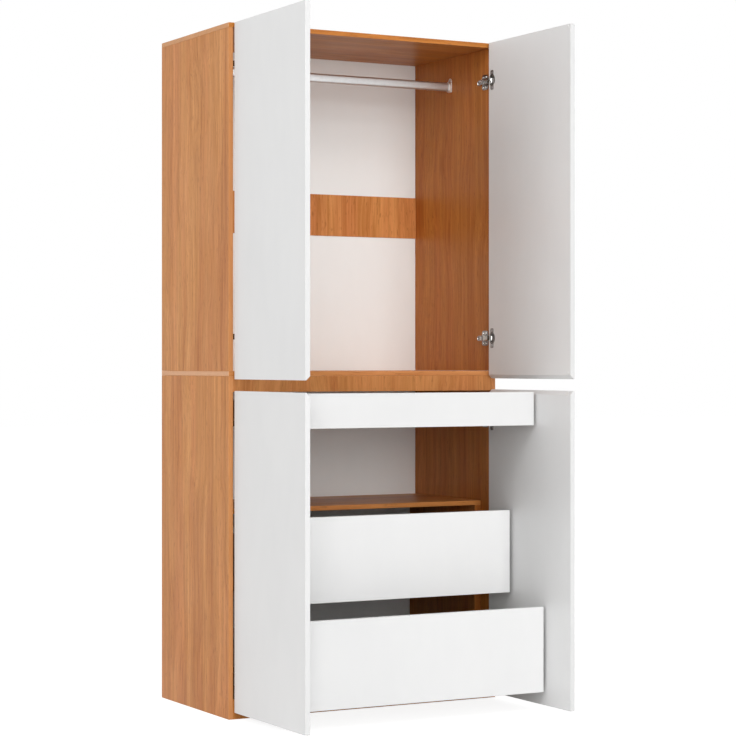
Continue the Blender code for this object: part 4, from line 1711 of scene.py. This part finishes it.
@dataclass(frozen=True)
class Studio:
    """The floor, the lamps, the white surroundings and the camera."""

    camera_place: tuple[float, float, float] = (-3.3848, -6.2003, 1.1093)
    camera_turn: float = math.radians(-28.70)
    lens: float = 107.43
    sensor: float = 36.0
    shift: float = -0.0070
    sight: float = 100.0
    floor_size: float = 60.0
    floor_drop: float = 0.0004
    floor_colour: Colour = (0.86, 0.86, 0.86)
    floor_seen: Colour = (0.40, 0.40, 0.40)
    floor_glow: float = 0.86
    ambient: float = 0.40
    lamp_size: float = 3.8
    lamp_distance: float = 11.0
    lamp_aim: float = 1.1
    lamps: tuple[Lamp, ...] = (
        Lamp("front_lamp", 0.0, math.radians(5), 262.0),
        Lamp("high_lamp", 0.0, math.radians(32), 237.0),
        Lamp("near_left_lamp", math.radians(30), math.radians(8), 175.0),
        Lamp("upper_left_lamp", math.radians(30), math.radians(42), 217.0),
        Lamp("left_lamp", math.radians(75), math.radians(15), 324.0),
    )

    def add_camera(self) -> None:
        """The camera, level, at the photograph's place."""
        data = bpy.data.cameras.new("camera")
        data.lens = self.lens
        data.sensor_width = self.sensor
        data.shift_y = self.shift
        data.clip_end = self.sight
        camera = add_object("camera", data)
        camera.location = self.camera_place
        camera.rotation_euler = (QUARTER_TURN, 0.0, self.camera_turn)
        bpy.context.scene.camera = camera

    def add_floor(self) -> None:
        """A pale floor that the camera sees as white but for the wardrobe's soft shadow."""
        shape = bmesh.new()
        bmesh.ops.create_grid(shape, x_segments=1, y_segments=1, size=self.floor_size / 2)
        bmesh.ops.translate(shape, verts=shape.verts, vec=-self.floor_drop * UP)
        floor = add_object("floor", make_mesh(shape, "floor"))
        material = bpy.data.materials.new("floor")
        material.use_nodes = True
        graph = Graph(material.node_tree)
        seen = seen_plainly(graph)
        fed = {
            "Base Color": graph.blend(seen, self.floor_colour, self.floor_seen),
            "Roughness": 1.0,
            "Specular IOR Level": 0.0,
            "Emission Color": (1.0, 1.0, 1.0),
            "Emission Strength": graph.times(seen, self.floor_glow),
        }
        for name, value in fed.items():
            graph.feed(material.node_tree.nodes["Principled BSDF"].inputs[name], value)
        floor.data.materials.append(material)

    def add_world(self) -> None:
        """Even light all round, seen as plain white."""
        world = bpy.data.worlds.new("surroundings")
        world.use_nodes = True
        graph = Graph(world.node_tree)
        background = world.node_tree.nodes["Background"]
        graph.feed(background.inputs["Color"], (1.0, 1.0, 1.0))
        glow = graph.times(seen_plainly(graph), 1.0 - self.ambient)
        graph.feed(background.inputs["Strength"], graph.math("ADD", self.ambient, glow))
        bpy.context.scene.world = world

    def add_lamp(self, lamp: Lamp) -> None:
        """Adds a soft square lamp that faces the middle of the wardrobe.

        Args:
            lamp: Its place and its power.
        """
        data = bpy.data.lights.new(lamp.name, "AREA")
        data.shape = "SQUARE"
        data.size = self.lamp_size
        data.energy = lamp.power
        away = self.lamp_distance * math.cos(lamp.rise)
        place = Vector((-away * math.sin(lamp.turn), -away * math.cos(lamp.turn), 0.0))
        place.z = self.lamp_distance * math.sin(lamp.rise)
        item = add_object(lamp.name, data)
        item.location = place + self.lamp_aim * UP
        item.rotation_euler = (-place).to_track_quat("-Z", "Y").to_euler()

    def build(self) -> None:
        """Builds the studio."""
        self.add_camera()
        self.add_floor()
        self.add_world()
        for lamp in self.lamps:
            self.add_lamp(lamp)
        bpy.context.scene.view_settings.view_transform = "Standard"


# The seeds of the doors and the drawers.
FIRST_SEED = 20.0
SEED_STEP = 1.7


def build_wardrobe() -> None:
    """Builds and dresses every sub-assembly of the wardrobe."""
    Carcass().build()
    HangingRail().build()
    seed = FIRST_SEED
    for storey in Storey:
        for side in Side:
            Door(storey, side, seed).build()
            seed += SEED_STEP
            for place in ("bottom", "top"):
                CupHinge(storey, side, place).build()
    for level in Level:
        Drawer(level, seed).build()
        seed += SEED_STEP
        for side in Side:
            Slide(level, side).build()


def main() -> None:
    """Builds the studio and the wardrobe."""
    logging.basicConfig(level=logging.INFO, format="%(name)s: %(message)s")
    Studio().build()
    build_wardrobe()


if __name__ == "__main__":
    main()
